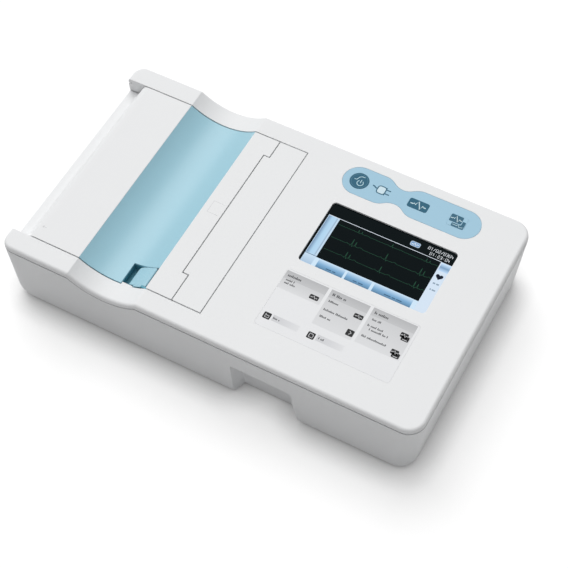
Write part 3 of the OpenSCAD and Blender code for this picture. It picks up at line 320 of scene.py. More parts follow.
# Printer works: a folded steel frame with the stepper motor, acetal and brass gears, the print
# head on its aluminium carrier, the white paper tray and a pack of folded chart paper.
def chart(place):
    """Chart paper: thin red lines every millimetre and stronger ones every five on its top, and
    the edges of the folds in its sides."""
    def ruled(step, width):
        """1 within a width of the middle of each step, across or along."""
        lines = [abs(place.axis(k) % step - step / 2) < width for k in (0, 1)]
        return lines[0].math("MAXIMUM", lines[1])
    paper_top, fold_step = 0.02245, 0.0005
    fine_lines, strong_lines = ruled(0.001, 0.00008) * 0.35, ruled(0.005, 0.00014) * 0.8
    fold = (place.axis(2) % fold_step < fold_step / 5) * 0.25
    top = place.axis(2) > paper_top
    shown = fine_lines.math("MAXIMUM", strong_lines) * top + fold * (1 - top)
    return shown.mix(colour("#f6efec"), colour("#cf7a78"))


def heating_line(place):
    """Glazed ceramic with a thin brown line of heating dots across it, level with the platen's axis."""
    platen_level, line_half = 0.0495, 0.00045
    return (abs(place.axis(2) - platen_level) < line_half).mix(colour("#ded8cc"), colour("#6b5443"))


def tube(rings):
    """A skin through rings of points, closed at both ends by its first and last ring."""
    points, count = rings.reshape(-1, 3), rings.shape[1]
    return points, [grid(*rings.shape[:2], True), np.arange(count)[None],
                    np.arange(len(points) - count, len(points))[None, ::-1]]


def coil(turns, radius, wire, length):
    """Spring about Z: a circle of radius wire carried along a helix, which lies flat for the first
    and the last 0.4 turn."""
    flat = 0.4
    turn = np.linspace(0, turns, 24 * turns + 1)[:, None]
    around = np.linspace(0, 2 * np.pi, 8, endpoint=False)
    out = radius - wire + wire * np.cos(around)
    risen = np.clip((turn - flat) / (turns - 2 * flat), 0, 1)
    height = wire + (length - 2 * wire) * risen + wire * np.sin(around)
    return tube(np.stack([out * np.cos(2 * np.pi * turn), out * np.sin(2 * np.pi * turn), height], -1))


gear_plastic = finish("gear_plastic", "#e3dccb", 0.4, 1500, 2e-5, 0.02)
ceramic = finish("ceramic", "#ded8cc", 0.15, 800, 5e-6, paint=heating_line)
bronze = finish("bronze", "#8f7243", 0.45, 3000, 2e-5, 0.05, Metallic=1.0)
motor_steel = finish("motor_steel", "#6d7178", 0.4, 900, 1e-5, 0.04, (1, 14, 1), Metallic=1.0)
chart_paper = finish("chart_paper", "#f6efec", 0.7, 3500, 1e-5, paint=chart)
dress(steel, "drive_frame", "tear_bar", "motor_shaft", "idler_pin", "head_pin")
dress(motor_steel, "motor_can")
dress(gear_plastic, "idler_gear", "platen_gear")
dress(aluminium, "head_heatsink")
dress(ceramic, "head_ceramic")
dress(white_abs, "paper_tray")
dress(chart_paper, "paper_pack")
wire_turns, faces = coil(4, 2.2, 0.35, 5.3)
press_pair = [(wire_turns[:, [2, 0, 1]] + [-32.25, y, 54.0], faces) for y in (-26.65, 33.35)]
press_springs = build("press_springs", press_pair, steel, "case", ["head_springs"])
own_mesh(press_springs)


# Upper shell: one white moulding with a rounded edge and a shallow skirt. Two arms reach left
# round the printer and dip with its scoop; the right half has openings for glass, film and label.
left, right_end, half, top = -164.0, 164.0, 94.5, 62.0
skirt, skirt_lean, edge_r, tip_r, corner_r = 3.9, np.radians(10), 2.4, 9.0, 13.0
skirt_foot, shell_t, skirt_t, bay_start = 0.3, 2.5, 2.5, left + 2.9
slope_high = skirt - skirt_foot - edge_r * (1 - np.sin(skirt_lean))
edge_in = edge_r * np.cos(skirt_lean) + np.tan(skirt_lean) * slope_high
bay_half, strip_x = 78.5, -8.2
scoop_0, scoop_1, scoop_deep = -107.2, -52.3, 9.3
wave_x = (scoop_0 + scoop_1) / 2
wave_r = ((scoop_1 - scoop_0) ** 2 / 4 + scoop_deep ** 2) / (2 * scoop_deep)
wave_z = top - scoop_deep + wave_r


def arc_z(x, radius):
    """Height of a round trough of this radius about the scoop's axis."""
    return wave_z - np.sqrt(np.maximum(radius ** 2 - (x - wave_x) ** 2, 0))


def dip(x):
    """How far the arms dip: the trough's depth d below the top and nothing above it, with a crisp
    left crease and a soft right one. Where d is within k of 0 it is (d + k)(d + k) / 4k."""
    depth = top - arc_z(x, wave_r)
    soft = np.where(x < wave_x, 0.15, 0.7)
    return np.where(depth > soft, depth, np.maximum(depth + soft, 0) ** 2 / (4 * soft))


def rounded(x, y, width, height, radius):
    """Rounded rectangle about (x, y); growing it keeps the centres of its corners."""
    angle = np.radians(np.linspace(0, 90, 9) + np.array([[0], [90], [180], [270]]))
    side_x, side_y = np.array([[1], [-1], [-1], [1]]), np.array([[1], [1], [-1], [-1]])
    return lambda grow: np.column_stack([
        (x + side_x * (width / 2 - radius) + (radius + grow) * np.cos(angle)).ravel(),
        (y + side_y * (height / 2 - radius) + (radius + grow) * np.sin(angle)).ravel()])


def sweep(x, y, radius, start, end, steps=10):
    """Points of a circle about (x, y) between two angles in degrees."""
    angle = np.radians(np.linspace(start, end, steps))
    return np.column_stack([x + radius * np.cos(angle), y + radius * np.sin(angle)])


def level(x, y):
    """Places x, all at one y."""
    return np.column_stack([x, np.full(len(x), y)])


stations = np.concatenate([
    np.linspace(left + tip_r, scoop_0 - 4, 6), np.linspace(scoop_0 - 3, scoop_1 + 5, 64),
    np.linspace(scoop_1 + 8, right_end - corner_r, 8)])


def rim(grow):
    """Plan of the outer edge from the front arm's tip round the right end to the back arm's tip."""
    run = level(stations, -half - grow)[1:-1]
    tip_x, corner_x = left + tip_r, right_end - corner_r
    return np.concatenate([
        [[left - grow, -bay_half]], sweep(tip_x, -half + tip_r, tip_r + grow, 180, 270), run,
        sweep(corner_x, -half + corner_r, corner_r + grow, 270, 360),
        sweep(corner_x, half - corner_r, corner_r + grow, 0, 90), run[::-1] * [1, -1],
        sweep(tip_x, half - tip_r, tip_r + grow, 90, 180), [[left - grow, bay_half]]])


def bay(grow):
    """Plan of the edge along the printer bay, from the front arm's tip to the back arm's. Its growth
    rises from nothing over the first 2 mm."""
    x = np.concatenate([[bay_start, bay_start + 2], stations[1:-8], [strip_x + grow]])
    y = bay_half + grow * np.minimum((x - bay_start) / 2, 1)
    return np.concatenate([np.column_stack([x, -y]), np.column_stack([x, y])[::-1]])


def fill(loops, height):
    """A flat face between closed loops: a constrained triangulation, keeping each triangle whose
    centre lies inside an odd number of loops."""
    starts = np.cumsum([0] + [len(loop) for loop in loops])
    rings = [np.arange(*ends) for ends in zip(starts, starts[1:])]
    sides = np.concatenate([np.column_stack([ring, np.roll(ring, -1)]) for ring in rings])
    flat = np.concatenate(loops)
    corners, _, faces, *_ = delaunay_2d_cdt(
        list(map(Vector, flat.tolist())), sides.tolist(), [], 0, 1e-5)
    corners, faces = np.array(corners), np.array(faces)
    x, y = corners[faces].mean(1).T[:, :, None]
    (x0, y0), (x1, y1) = flat[sides[:, 0]].T, flat[sides[:, 1]].T
    with np.errstate(divide="ignore", invalid="ignore"):
        crossed = ((y0 > y) != (y1 > y)) & (x < (x1 - x0) * (y - y0) / (y1 - y0) + x0)
    return np.insert(corners, 2, height, axis=1), [faces[crossed.sum(1) % 2 == 1]]


lobe_r, film_y, film_left, film_gap, well_gap = 12.45, 72.8, 24.0, 0.22, 0.3
lobe_ends = film_left + np.array([lobe_r, 41 - lobe_r, 47 + lobe_r, 107.5 - lobe_r])
waist_x, waist_half = film_left + 44, 6.9
waist_reach = (lobe_ends[2] - waist_x) ** 2 + waist_half ** 2 - lobe_r ** 2
waist_r = waist_reach / (2 * (lobe_r - waist_half))


def film(grow):
    """Plan of the keypad: two long lobes joined by a waist of two arcs that touch them."""
    lean = np.degrees(np.arctan2(waist_half + waist_r, lobe_ends[2] - waist_x))
    lobe = lobe_r + grow
    above = np.concatenate([
        sweep(lobe_ends[3], 0, lobe, 0, 90, 14), sweep(lobe_ends[2], 0, lobe, 90, 180 - lean, 6),
        sweep(waist_x, waist_half + waist_r, waist_r - grow, -lean, lean - 180, 9)[1:-1],
        sweep(lobe_ends[1], 0, lobe, lean, 90, 6), sweep(lobe_ends[0], 0, lobe, 90, 180, 14)])
    return np.concatenate([above, above[-2:0:-1] * [1, -1]]) + [0, film_y]


def lip(radius, deep):
    """Profile of an opening's edge: a quarter round of this radius at the top, then straight down."""
    turn = np.linspace(0, np.pi / 2, 7)
    return [*zip(radius * (1 - np.sin(turn)), top - radius * (1 - np.cos(turn))), (0, top - deep)]


def spaced(outline, gap):
    """An outline with a gap all round it."""
    return lambda grow: outline(grow + gap)


window = rounded(77.85, 20.15, 98.1, 56.0, 3.0)
label_plan = rounded(78.4, -42.6, 102.16, 50.16, 2.08)
power_x, auto_x, rhythm_x = 36.45, 83.45, 114.0
caps = {"power_key": circle(power_x, film_y, 7.2, 64),
        "auto_key": rounded(auto_x, film_y, 15.4, 8.2, 1.6),
        "rhythm_key": rounded(rhythm_x, film_y, 13.2, 10.8, 1.6)}
film_seat = spaced(film, film_gap)
key_wells = [spaced(cap, well_gap) for cap in caps.values()]
well_plans = [well(0) for well in key_wells]
lip_r, film_lip, label_lip, film_t, label_t = 0.12, 0.06, 0.02, 0.6, 0.3
under, hem = top - shell_t, top - skirt
turn = np.linspace(skirt_lean, np.pi / 2, 9)
# The skirt's foot is eased by two facets.
skirt_profile = [(-skirt_t, under), (-skirt_t, hem), (-0.35, hem), (-0.1, hem + 0.08),
                 (0, hem + skirt_foot),
                 *zip(edge_r * np.cos(turn) - edge_in, top - edge_r + edge_r * np.sin(turn))]
tip = np.array([(-grow, height) for grow, height in skirt_profile]
               + [(bay_start - left, height) for _, height in lip(lip_r, shell_t)])
tips = [(np.column_stack([left + tip[:, 0], np.full(len(tip), side * bay_half), tip[:, 1]]),
         [np.arange(len(tip))[None]]) for side in (-1, 1)]
face_plan, inner_plan = (np.concatenate([rim(-inset), bay(grow)[::-1]])
                         for inset, grow in ((edge_in, lip_r), (skirt_t, 0)))
shell = [fill([face_plan, window(lip_r), film_seat(film_lip), label_plan(label_lip)], top),
         fill([inner_plan, window(0)] + well_plans, under),
         skin(rim, skirt_profile, False), skin(bay, lip(lip_r, shell_t), False),
         skin(window, lip(lip_r, shell_t)), *tips,
         skin(film_seat, lip(film_lip, film_t)), fill([film_seat(0)] + well_plans, top - film_t),
         *[skin(well, [(0, top - film_t), (0, under)]) for well in key_wells],
         skin(label_plan, lip(label_lip, label_t)), fill([label_plan(0)], top - label_t)]
for points, _ in shell:
    points[:, 2] -= dip(points[:, 0])
build("upper_shell", shell, white_abs, "case", ["top_shell"], crease=30)


# Strip over the print head: a flat white plate screwed down beside the cover. Its tongue forms
# one side of the paper slot and holds the tear bar under it.
def mitred(corners):
    """Polygon whose sides all move out by the same growth, with mitred corners, run anticlockwise."""
    corner = np.array(corners, float)
    x, y = corner.T
    if (x * np.roll(y, -1) - y * np.roll(x, -1)).sum() < 0:
        corner = corner[::-1]
    side = np.roll(corner, -1, 0) - corner
    out = np.column_stack([side[:, 1], -side[:, 0]]) / np.linalg.norm(side, axis=1)[:, None]
    before = np.roll(out, 1, 0)
    shift = (out + before) / (1 + (out * before).sum(1))[:, None]
    return lambda grow: corner + grow * shift


def softened(corners, cut, steps=4):
    """A polygon whose corners become parabolas that start a distance cut before the corner."""
    corner = np.array(corners, float)[:, None]
    cut = np.broadcast_to(cut, len(corner))[:, None, None]

    def towards(step):
        """The point a distance cut from the corner, towards the one step places before it."""
        side = np.roll(corner, step, 0) - corner
        length = np.linalg.norm(side, axis=2, keepdims=True)
        return corner + side / length * np.minimum(cut, 0.45 * length)
    t = np.linspace(0, 1, steps + 1)[None, :, None]
    curve = (1 - t) ** 2 * towards(1) + 2 * t * (1 - t) * corner + t ** 2 * towards(-1)
    return curve.reshape(-1, 2)


cover_half, slot_y = 77.65, (-54.4, 61.1)
strip_0, strip_1, tongue, strip_t = -31.1, -8.9, -35.9, 2.5
strip_plan = [(strip_0, -cover_half), (strip_1, -cover_half), (strip_1, cover_half),
              (strip_0, cover_half), (strip_0, slot_y[1]), (tongue, slot_y[1]),
              (tongue, slot_y[0]), (strip_0, slot_y[0])]
build("strip_plate", [slab(mitred(softened(strip_plan, 0.4)), top - strip_t, top, lip_r)], white_abs,
      "case", ["head_strip"])


# Display: a black touch glass behind the window, with the colour picture of the panel under it.
# The picture is laid out in tiles, each with a colour at its corners, and lights by itself.
def tile(x0, x1, y0, y1, height, *codes):
    """A flat rectangle of one colour, or with one for its lower and one for its upper edge."""
    low, high = codes[0], codes[-1]
    points = np.array([(x0, y0, height), (x1, y0, height), (x1, y1, height), (x0, y1, height)])
    return points, [low, low, high, high], np.arange(4)[None]


def ribbon(lower, upper, height):
    """Quads between two lines with the same number of points, at one height."""
    count = len(lower)
    step = np.arange(count - 1)
    faces = np.column_stack([step, step + 1, step + 1 + count, step + count])
    return np.insert(np.concatenate([lower, upper]), 2, height, axis=1), faces


def column(stops, y0, y1, height):
    """A flat rectangle that changes colour across: stops are (x, colour) pairs from left to right."""
    x, codes = zip(*stops)
    points, faces = ribbon(level(x, y0), level(x, y1), height)
    return points, codes * 2, faces


def leaf(outline, height, code):
    """A flat shape of one colour inside an outline."""
    return np.insert(outline, 2, height, axis=1), [code] * len(outline), np.arange(len(outline))[None]


def stroke(line, width, height, code, at=(0, 0)):
    """A line of even width about a place: its points moved to both sides along the normal of the
    mean of the two steps beside them."""
    line = np.add(line, at)
    along = np.gradient(line, axis=0)
    normal = np.column_stack([-along[:, 1], along[:, 0]]) / np.linalg.norm(along, axis=1)[:, None]
    across = normal * width / 2
    points, faces = ribbon(line - across, line + across, height)
    return points, [code] * len(points), faces


def printed(name, shapes, material, body):
    """A piece of flat shapes, each point's colour in an attribute, given the thickness of a film."""
    mesh = joined(name, [(points, [faces]) for points, _, faces in shapes])
    ink = mesh.color_attributes.new("ink", "FLOAT_COLOR", "POINT")
    codes = [colour(code) for _, codes, _ in shapes for code in codes]
    ink.data.foreach_set("color", np.array(codes).ravel())
    item = place_piece(mesh, name, material, body, [])
    film_coat = item.modifiers.new("coat", "SOLIDIFY")
    film_coat.thickness, film_coat.offset = 1e-5, -1.0


def ink_finish(name, rough, glow):
    """Print or picture: its colour comes from the mesh, and a picture sends it out as light."""
    material = finish(name, "#000000", rough, 2000, 2e-6, Specular_IOR_Level=0.02 if glow else 0.15,
                      paint=lambda place: place.add("ShaderNodeVertexColor", {}, layer_name="ink"),
                      Emission_Strength=glow)
    if glow:
        tree = material.node_tree
        shader = tree.nodes["Principled BSDF"]
        link = shader.inputs["Base Color"].links[0]
        tree.links.new(link.from_socket, shader.inputs["Emission Color"])
        tree.links.remove(link)
        shader.inputs["Base Color"].default_value = colour("#050506")
    return material


def beat(place, twin):
    """One heart beat against the place in its cycle: humps and spikes, each a Gaussian of its own
    middle, height and width, with a second spike where twin is 1."""
    waves = [(0.20, 0.10, 0.03), (0.30, -0.10, 0.006), (0.33, 1.0, 0.008), (0.36, -0.2, 0.008),
             (0.60, 0.16, 0.045), (0.43, 0.75 * twin, 0.008)]
    return sum(size * np.exp(-((place - middle) / width) ** 2) for middle, size, width in waves)


def figures(text, x, y, size, height, code):
    """A row of figures, each drawn with straight strokes in a cell one size wide and two high."""
    shapes = {"0": [[(0, 0), (1, 0), (1, 2), (0, 2), (0, 0)]], "1": [[(0.2, 1.6), (0.6, 2), (0.6, 0)]],
              "2": [[(0, 2), (1, 2), (1, 1), (0, 1), (0, 0), (1, 0)]],
              "3": [[(0, 2), (1, 2), (1, 0), (0, 0)], [(0.2, 1), (1, 1)]],
              "4": [[(0, 2), (0, 0.8), (1, 0.8)], [(0.8, 1.4), (0.8, 0)]], "/": [[(0, 0), (1, 2)]],
              ":": [[(0.4, 0.35), (0.4, 0.65)], [(0.4, 1.35), (0.4, 1.65)]]}
    pitch, pen = 1.62 * size, 0.3
    return [stroke(np.array(line) * size, pen, height, code, (x + pitch * place, y))
            for place, sign in enumerate(text) for line in shapes[sign]]


glass_top, glass_t = 60.6, 1.4
touch_glass = finish("touch_glass", "#030e11", 0.2, 300, 1e-6, 0.05, Specular_IOR_Level=0.014)
glass_plan = rounded(78.4, 20.7, 103, 60.4, 3)
build("display_glass", [slab(glass_plan, glass_top - glass_t, glass_top, 0.2)], touch_glass, "case",
      ["touch_glass"])
dress(finish("lcd", "#3a4a55", 0.4, 1500, 1e-5, 0.04), "lcd_module")
sheet_z, key_z, mark_z = glass_top + 0.03, glass_top + 0.05, glass_top + 0.07
trace_green, figure_white, key_blue, grey_sky = "#24503c", "#eef3f8", "#80aed4", "#8fa3b5"
soft_keys = ((42.3, 63.0), (64.8, 83.6), (85.8, 115.2))
soft_words = ((50, 4), (55, 2.4), (71, 3), (75, 3.6), (95, 5), (101, 2.6), (104.4, 4))
side_words = ((120.6, 1.8, 18.2), (123.2, 2.0, 18.2), (120.8, 1.0, 12.6), (122.4, 2.6, 12.6))
badge_trace = [(93.4, 41.8), (94.9, 41.8), (95.8, 43.1), (96.7, 41.4), (97.3, 42.4), (98.6, 42.4)]
picture = [
    tile(30.9, 118.4, 37.0, 37.4, key_z, "#dfe8f2"),
    tile(30.5, 39.3, -7.8, 37.4, sheet_z, "#c4dcf0"),
    column([(30.9, "#7590b0"), (33.8, "#b0d4ee"), (36.6, "#b8d8f1"), (38.0, "#94abc2")], 1.5, 36.8, key_z),
    tile(30.8, 38.9, -7.6, 0.5, key_z, "#a9c4dd", "#c9e0f3"),
    tile(30.5, 39.1, 0.7, 1.15, mark_z, "#42627f"),
    tile(39.31, 118.39, -7.8, 0.5, sheet_z, "#cfe6f8"),
    tile(118.4, 126.8, -7.8, 37.2, sheet_z, "#d5e4f4"),
    *[tile(*ends, -7.7, -3.6, key_z, "#50799a", key_blue) for ends in soft_keys],
    *[tile(*ends, -3.59, -0.1, key_z, key_blue, "#bfdaf1") for ends in soft_keys],
    tile(119.2, 126.5, 33.2, 36.6, key_z, "#7da0c2", "#cbe6ff"),
    tile(119.2, 126.5, 29.9, 33.19, key_z, "#c2defa", "#7da0c2"),
    *[tile(x, x + width, -5.6, -4.8, mark_z, "#426788") for x, width in soft_words],
    leaf(rounded(96.0, 42.2, 7.4, 4.0, 1.2)(0), key_z, "#c3d6ea"),
    leaf(rounded(96.0, 42.2, 6.6, 3.2, 0.9)(0), mark_z, "#7fa2c8"),
    stroke(badge_trace, 0.5, mark_z + 0.02, "#eef5fc"),
    *figures("01/02/0304", 105.4, 42.9, 1.22, mark_z, figure_white),
    *figures("01:23:04", 108.4, 38.9, 1.22, mark_z, figure_white),
    *[tile(x, x + width, y, y + 1.2, mark_z, grey_sky) for x, width, y in side_words]]
swing = np.linspace(0, 2 * np.pi, 41)
heart_y = 13 * np.cos(swing) - 5 * np.cos(2 * swing) - 2 * np.cos(3 * swing) - np.cos(4 * swing)
heart = np.column_stack([16 * np.sin(swing) ** 3, heart_y])
picture.append(leaf(heart[:0:-1] * 0.17 + [122.6, 25.0], mark_z, "#0c1626"))
trace_x, beat_length, spike_at = np.linspace(40.6, 118.2, 1000), 26.4, 0.33
for base, tall, spike_x in ((32.6, 2.6, 56.0), (20.8, 5.6, 56.4), (9.6, 5.0, 57.2)):
    beats = (trace_x - spike_x) / beat_length + spike_at
    wander = 0.1 * np.sin(trace_x * 2.9) * np.sin(trace_x * 0.37)
    height = base + tall * beat(beats % 1, 1 - np.floor(beats) % 2) + wander
    picture.append(stroke(np.column_stack([trace_x, height]), 0.27, key_z, trace_green))
printed("display_picture", picture, ink_finish("picture_light", 0.2, 1.0), "case")


# Keypad: a printed light blue film in a shallow seat, with three sprung key caps that stand a
# little proud of it. The signs are printed: standby, a mains plug over the lamp, and two traces.
film_blue, sign_teal, sign_pale, trace_pale = "#a8cfe4", "#29627b", "#b9dbe6", "#c9e2ea"
keypad_film = finish("keypad_film", film_blue, 0.5, 3000, 8e-6, 0.012, Specular_IOR_Level=0.15)
key_print = finish("key_print", sign_teal, 0.5, 3000, 8e-6, 0.02, Specular_IOR_Level=0.15)
key_gap, key_top, key_foot, film_edge, film_foot = 0.06, top + 0.1, top - 3.4, 0.1, top - film_t
holes = [spaced(cap, key_gap) for cap in caps.values()]
hole_plans = [hole(0) for hole in holes]
points, faces = fill([film(0)] + hole_plans, film_foot)
film_sheet = [fill([film(-film_edge)] + hole_plans, top), skin(film, eased(film_foot, top, film_edge, 4)),
              (points, [faces[0][:, ::-1]]), *[skin(hole, [(0, top), (0, film_foot)]) for hole in holes]]
build("keypad_sheet", film_sheet, keypad_film, "case", ["keypad_overlay"])
for name, cap in caps.items():
    material, slot = (keypad_film, "keypad_film") if name == "rhythm_key" else (key_print, "key_print")
    build(name + "_cap", [slab(cap, key_foot, key_top, 0.12)], material, name, [name])
print_finish = ink_finish("sign_print", 0.35, 0)
sign_z, lamp_x, plug_z = key_top + 0.02, 54.4, top + 0.02
power_at, auto_at, rhythm_at, lamp_at = ([x, film_y] for x in (power_x, auto_x, rhythm_x, lamp_x))
pulse = np.array([(-5.2, -0.3), (-3.5, -0.3), (-2.7, 0.4), (-1.9, -0.5), (-0.6, 2.6), (2.0, -2.6),
                  (3.0, 0.5), (3.8, -0.3), (5.2, -0.3)])
standby_ring, power_ring = sweep(0, 0, 1, 125, 415, 30) * 2.3, sweep(0, 0, 1, 0, 360, 41) * 6.1
power_wave = [(-4.2, 0.4), (-2.4, 0.4), (-1.2, 3.2), (0.2, 4.2), (2.6, 4.4)]
printed("standby_sign", [
    stroke(standby_ring, 0.6, sign_z, sign_pale, np.add(power_at, (1.3, -1.6))),
    stroke([(1.3, -1.6), (1.3, 1.5)], 0.6, sign_z, sign_pale, power_at),
    stroke(power_wave, 0.6, sign_z, sign_pale, power_at),
    stroke(power_ring, 0.25, sign_z, "#4d8298", power_at)], print_finish, "power_key")
printed("trace_sign", [stroke(pulse * [1.15, 1.2], 0.88, sign_z, trace_pale, auto_at)],
        print_finish, "auto_key")
low_wave = [(-2.2, -3.6), (1.4, -3.6), (2.2, -2.6), (3.0, -4.4), (5.6, -3.6)]
printed("rhythm_sign", [
    leaf(rounded(rhythm_x + 1.6, film_y - 1.9, 9.4, 6.8, 0.9)(0), sign_z, sign_teal),
    leaf(rounded(rhythm_x - 1.2, film_y + 1.3, 10.0, 7.2, 0.9)(0), sign_z + 0.01, film_blue),
    leaf(rounded(rhythm_x - 1.4, film_y + 1.6, 9.4, 6.6, 0.9)(0), sign_z + 0.02, sign_teal),
    stroke(pulse * [0.82, 0.95], 0.7, sign_z + 0.03, trace_pale, np.add(rhythm_at, (-1.4, 1.6))),
    stroke(low_wave, 0.5, sign_z + 0.01, sign_pale, rhythm_at)],
    print_finish, "rhythm_key")
plug_plan = rounded(lamp_x - 0.2, film_y - 0.1, 6.0, 6.4, 1.8)
plug_lead = [(-7.6, 1.2), (-6.0, 0.9), (-4.8, 0), (-3.2, 0)]
printed("mains_sign", [
    leaf(plug_plan(0.6), plug_z, sign_teal), leaf(plug_plan(-0.25), plug_z + 0.02, "#d3e9f2"),
    stroke(plug_lead, 1.05, plug_z + 0.01, sign_teal, lamp_at),
    stroke([(2.9, -3.6), (2.9, 3.4)], 0.8, plug_z + 0.04, sign_teal, lamp_at),
    *[stroke([(3, y), (6.6, y)], 0.9, plug_z + 0.01, sign_teal, lamp_at) for y in (-1.9, 1.7)]],
    print_finish, "case")
dress(finish("light_pipe", "#d5efe0", 0.1, 400, 2e-6, 0.02), "mains_lamp")


# Instruction label: a matt printed film in a flush seat below the display. Three grey panels with
# step lines and key signs, and two more key signs under them; words are shown as plain bars.
label_grey, word_grey, heading_size, step_size = "#e8e9eb", "#4a4b4e", 1.7, 1.35
label_film = finish("label_film", label_grey, 0.5, 2500, 8e-6, 0.006)
build("label_sheet", [slab(rounded(78.4, -42.6, 102, 50, 2.0), top - label_t, top, label_lip)],
      label_film, "case", ["instruction_label"])
ground_z, word_z, key_sign_z = top + 0.015, top + 0.03, top + 0.045
words = np.random.default_rng(7)


def greeked(x, y, length, size):
    """A line of text that can't be read: short upright bars of two heights in words of random length."""
    pitch, bar_w = 0.62 * size, 0.42 * size
    count = int(length / pitch)
    tall = np.where(words.random(count) < 0.3, 1.25, 0.85) * size
    start = x + pitch * np.arange(count)
    gap = words.random(count) < 0.14
    return [tile(at, at + bar_w, y, y + high, word_z, word_grey)
            for at, high in zip(start[~gap], tall[~gap])]


def key_sign(x, y, width, height, sign):
    """A black key picture with a pale sign on it."""
    return [leaf(rounded(x, y, width, height, 0.8)(0), key_sign_z, "#17181a"),
            stroke(sign, 0.45, key_sign_z + 0.015, "#d9dadc", (x, y))]


panels = ((27.6, 60.0, -34.7, -19.0), (62.3, 92.0, -49.6, -19.0), (94.4, 127.5, -49.0, -18.6))
steps = ((30.2, -27.2, 7), (30.2, -29.8, 9), (64.4, -29.2, 8), (64.4, -36.6, 19), (64.4, -42.6, 9),
         (96.6, -28.6, 8), (96.6, -34.0, 12), (98.2, -36.8, 17), (96.6, -43.2, 19))
head_high, head_base, key_low, key_high = 6.6, 4.6, -60.6, -55.6
label = []
for x0, x1, y0, y1 in panels:
    label += [tile(x0, x1, y1 - head_high, y1, ground_z, "#cacbcd", "#bdbec0"),
              tile(x0, x1, y0, y1 - head_high - 0.01, ground_z, "#e4e5e7", "#d6d7d9")]
    label += greeked(x0 + 2.2, y1 - head_base, 11, heading_size)
for x, y, length in steps:
    label += greeked(x, y, length, step_size)
for x in (32.8, 66.7):
    fade = [(x + 4, "#d6d7da"), (x + 14, "#dedfe2"), (x + 24, label_grey)]
    label += [column(fade, key_low, key_high, ground_z)] + greeked(x + 4.6, -58.9, 5.4, step_size)
small_pulse, dash = pulse * [0.5, 0.5], [(-1.6, -1.1), (1.8, -1.1)]
arrow = [(-0.6, -1.4), (0.9, 0), (-0.6, 1.4)]
flag = [(-1.3, 1.5), (-1.3, -1.4), (1.5, -1.4), (1.5, 0.4), (-1.3, 0.4)]
sheet = [(-1.4, -1.5), (-1.4, 1.4), (0.9, 1.4), (1.5, 0.8), (1.5, -1.5), (-1.4, -1.5)]
label += key_sign(54.3, -30.8, 6.8, 3.7, small_pulse) + key_sign(88.2, -30.4, 6.8, 3.7, small_pulse)
label += key_sign(89.0, -44.6, 5.4, 5.2, arrow)
for y in (-30.3, -45.0):
    label += key_sign(123.9, y - 1.2, 5.6, 4.2, dash) + key_sign(122.3, y + 0.9, 5.6, 4.0, small_pulse)
label += key_sign(32.8, -58.5, 5.5, 5.3, flag) + key_sign(66.7, -58.6, 5.5, 5.3, sheet)
printed("label_print", label, ink_finish("label_ink", 0.5, 0), "case")


# Paper cover: a white moulding that slides to the left on runners in the bay's walls. Its sheet
# rolls over a brow to a ledge and an end wall; under the blue scoop it has a round white seat.
def bar(outline, y0, y1, edge):
    """A side view carried along Y; its ends are rounded by shrinking the view by edge times 1 - sin t."""
    turn = np.linspace(0, np.pi / 2, 5)
    grow = np.concatenate([edge * (np.sin(turn) - 1), edge * (np.sin(turn[::-1]) - 1)])
    y = np.concatenate([y0 + edge * (1 - np.cos(turn)), y1 - edge * (1 - np.cos(turn[::-1]))])
    return tube(np.stack([np.insert(outline(size), 1, place, axis=1) for size, place in zip(grow, y)]))


def box(x0, x1, y0, y1, z0, z1, edge=0.3):
    """A plain wall or rail with soft edges."""
    return bar(mitred(softened([(x0, z0), (x1, z0), (x1, z1), (x0, z1)], edge)), y0, y1, edge)


cover_in, seat_0, seat_1, seat_r, seat_t = top - 2.4, -106.6, -52.9, wave_r + 1.55, 2.2


def seat(x0, x1):
    """Side view of the round seat between x0 and x1, cut off level under the cover's sheet."""
    x = np.linspace(x0, x1, 48)
    upper = np.minimum(arc_z(x, seat_r), cover_in)
    lower = np.minimum(arc_z(x, seat_r + seat_t), cover_in - 0.4)
    return mitred(np.concatenate([np.column_stack([x, lower]), np.column_stack([x, upper])[::-1]]))


def wall(x, z, foot):
    """Side view of a wall from a level foot up to the heights z over the places x."""
    return mitred(np.concatenate([[(x[0], foot), (x[-1], foot)], np.column_stack([x, z])[::-1]]))


brow_end, strip_start = -107.25, -52.35
brow = softened([(brow_end, top), (-148.2, top), (-155.6, 49.5), (-163.4, 49.5), (-162.2, 11.0),
                 (-159.8, 11.0), (-160.9, 47.1), (-152.6, 47.1), (-146.6, cover_in), (brow_end, cover_in)],
                [0.3, 3.4, 1.6, 1.2, 0.6, 0.6, 0.8, 1.2, 2.0, 0.3], 8)
strip = [(strip_start, -cover_half), (-31.9, -cover_half), (-31.9, -55.2), (-36.7, -55.2), (-36.7, 61.9),
         (-31.9, 61.9), (-31.9, cover_half), (strip_start, cover_half)]
pocket_x, pocket_y = (-73.8, -52.3), -59.0
rail_0, rail_1, web_foot, notch_gap, notch_deep, lean = -145.6, -33.5, 42.0, 1.4, 44.7, 0.02
notch = pocket_x[0] - notch_gap, pocket_x[1] + notch_gap
rail_x = np.union1d(np.linspace(rail_0, rail_1, 60), [notch[0] - lean, *notch, notch[1] + lean])
rail_z = np.minimum(cover_in, arc_z(rail_x, wave_r + 2.5))
in_notch = (rail_x > notch[0] - lean / 2) & (rail_x < notch[1] + lean / 2)
webs = {-1: np.where(in_notch, notch_deep, rail_z), 1: rail_z}
web_y, runner_y, runner_z = np.array([73.5, 75.5]), np.array([73.6, 80.3]), (43.2, 45.6)
ear_x, ear_t, ear_foot = (-50.7, -38.1), 2.8, 43.5
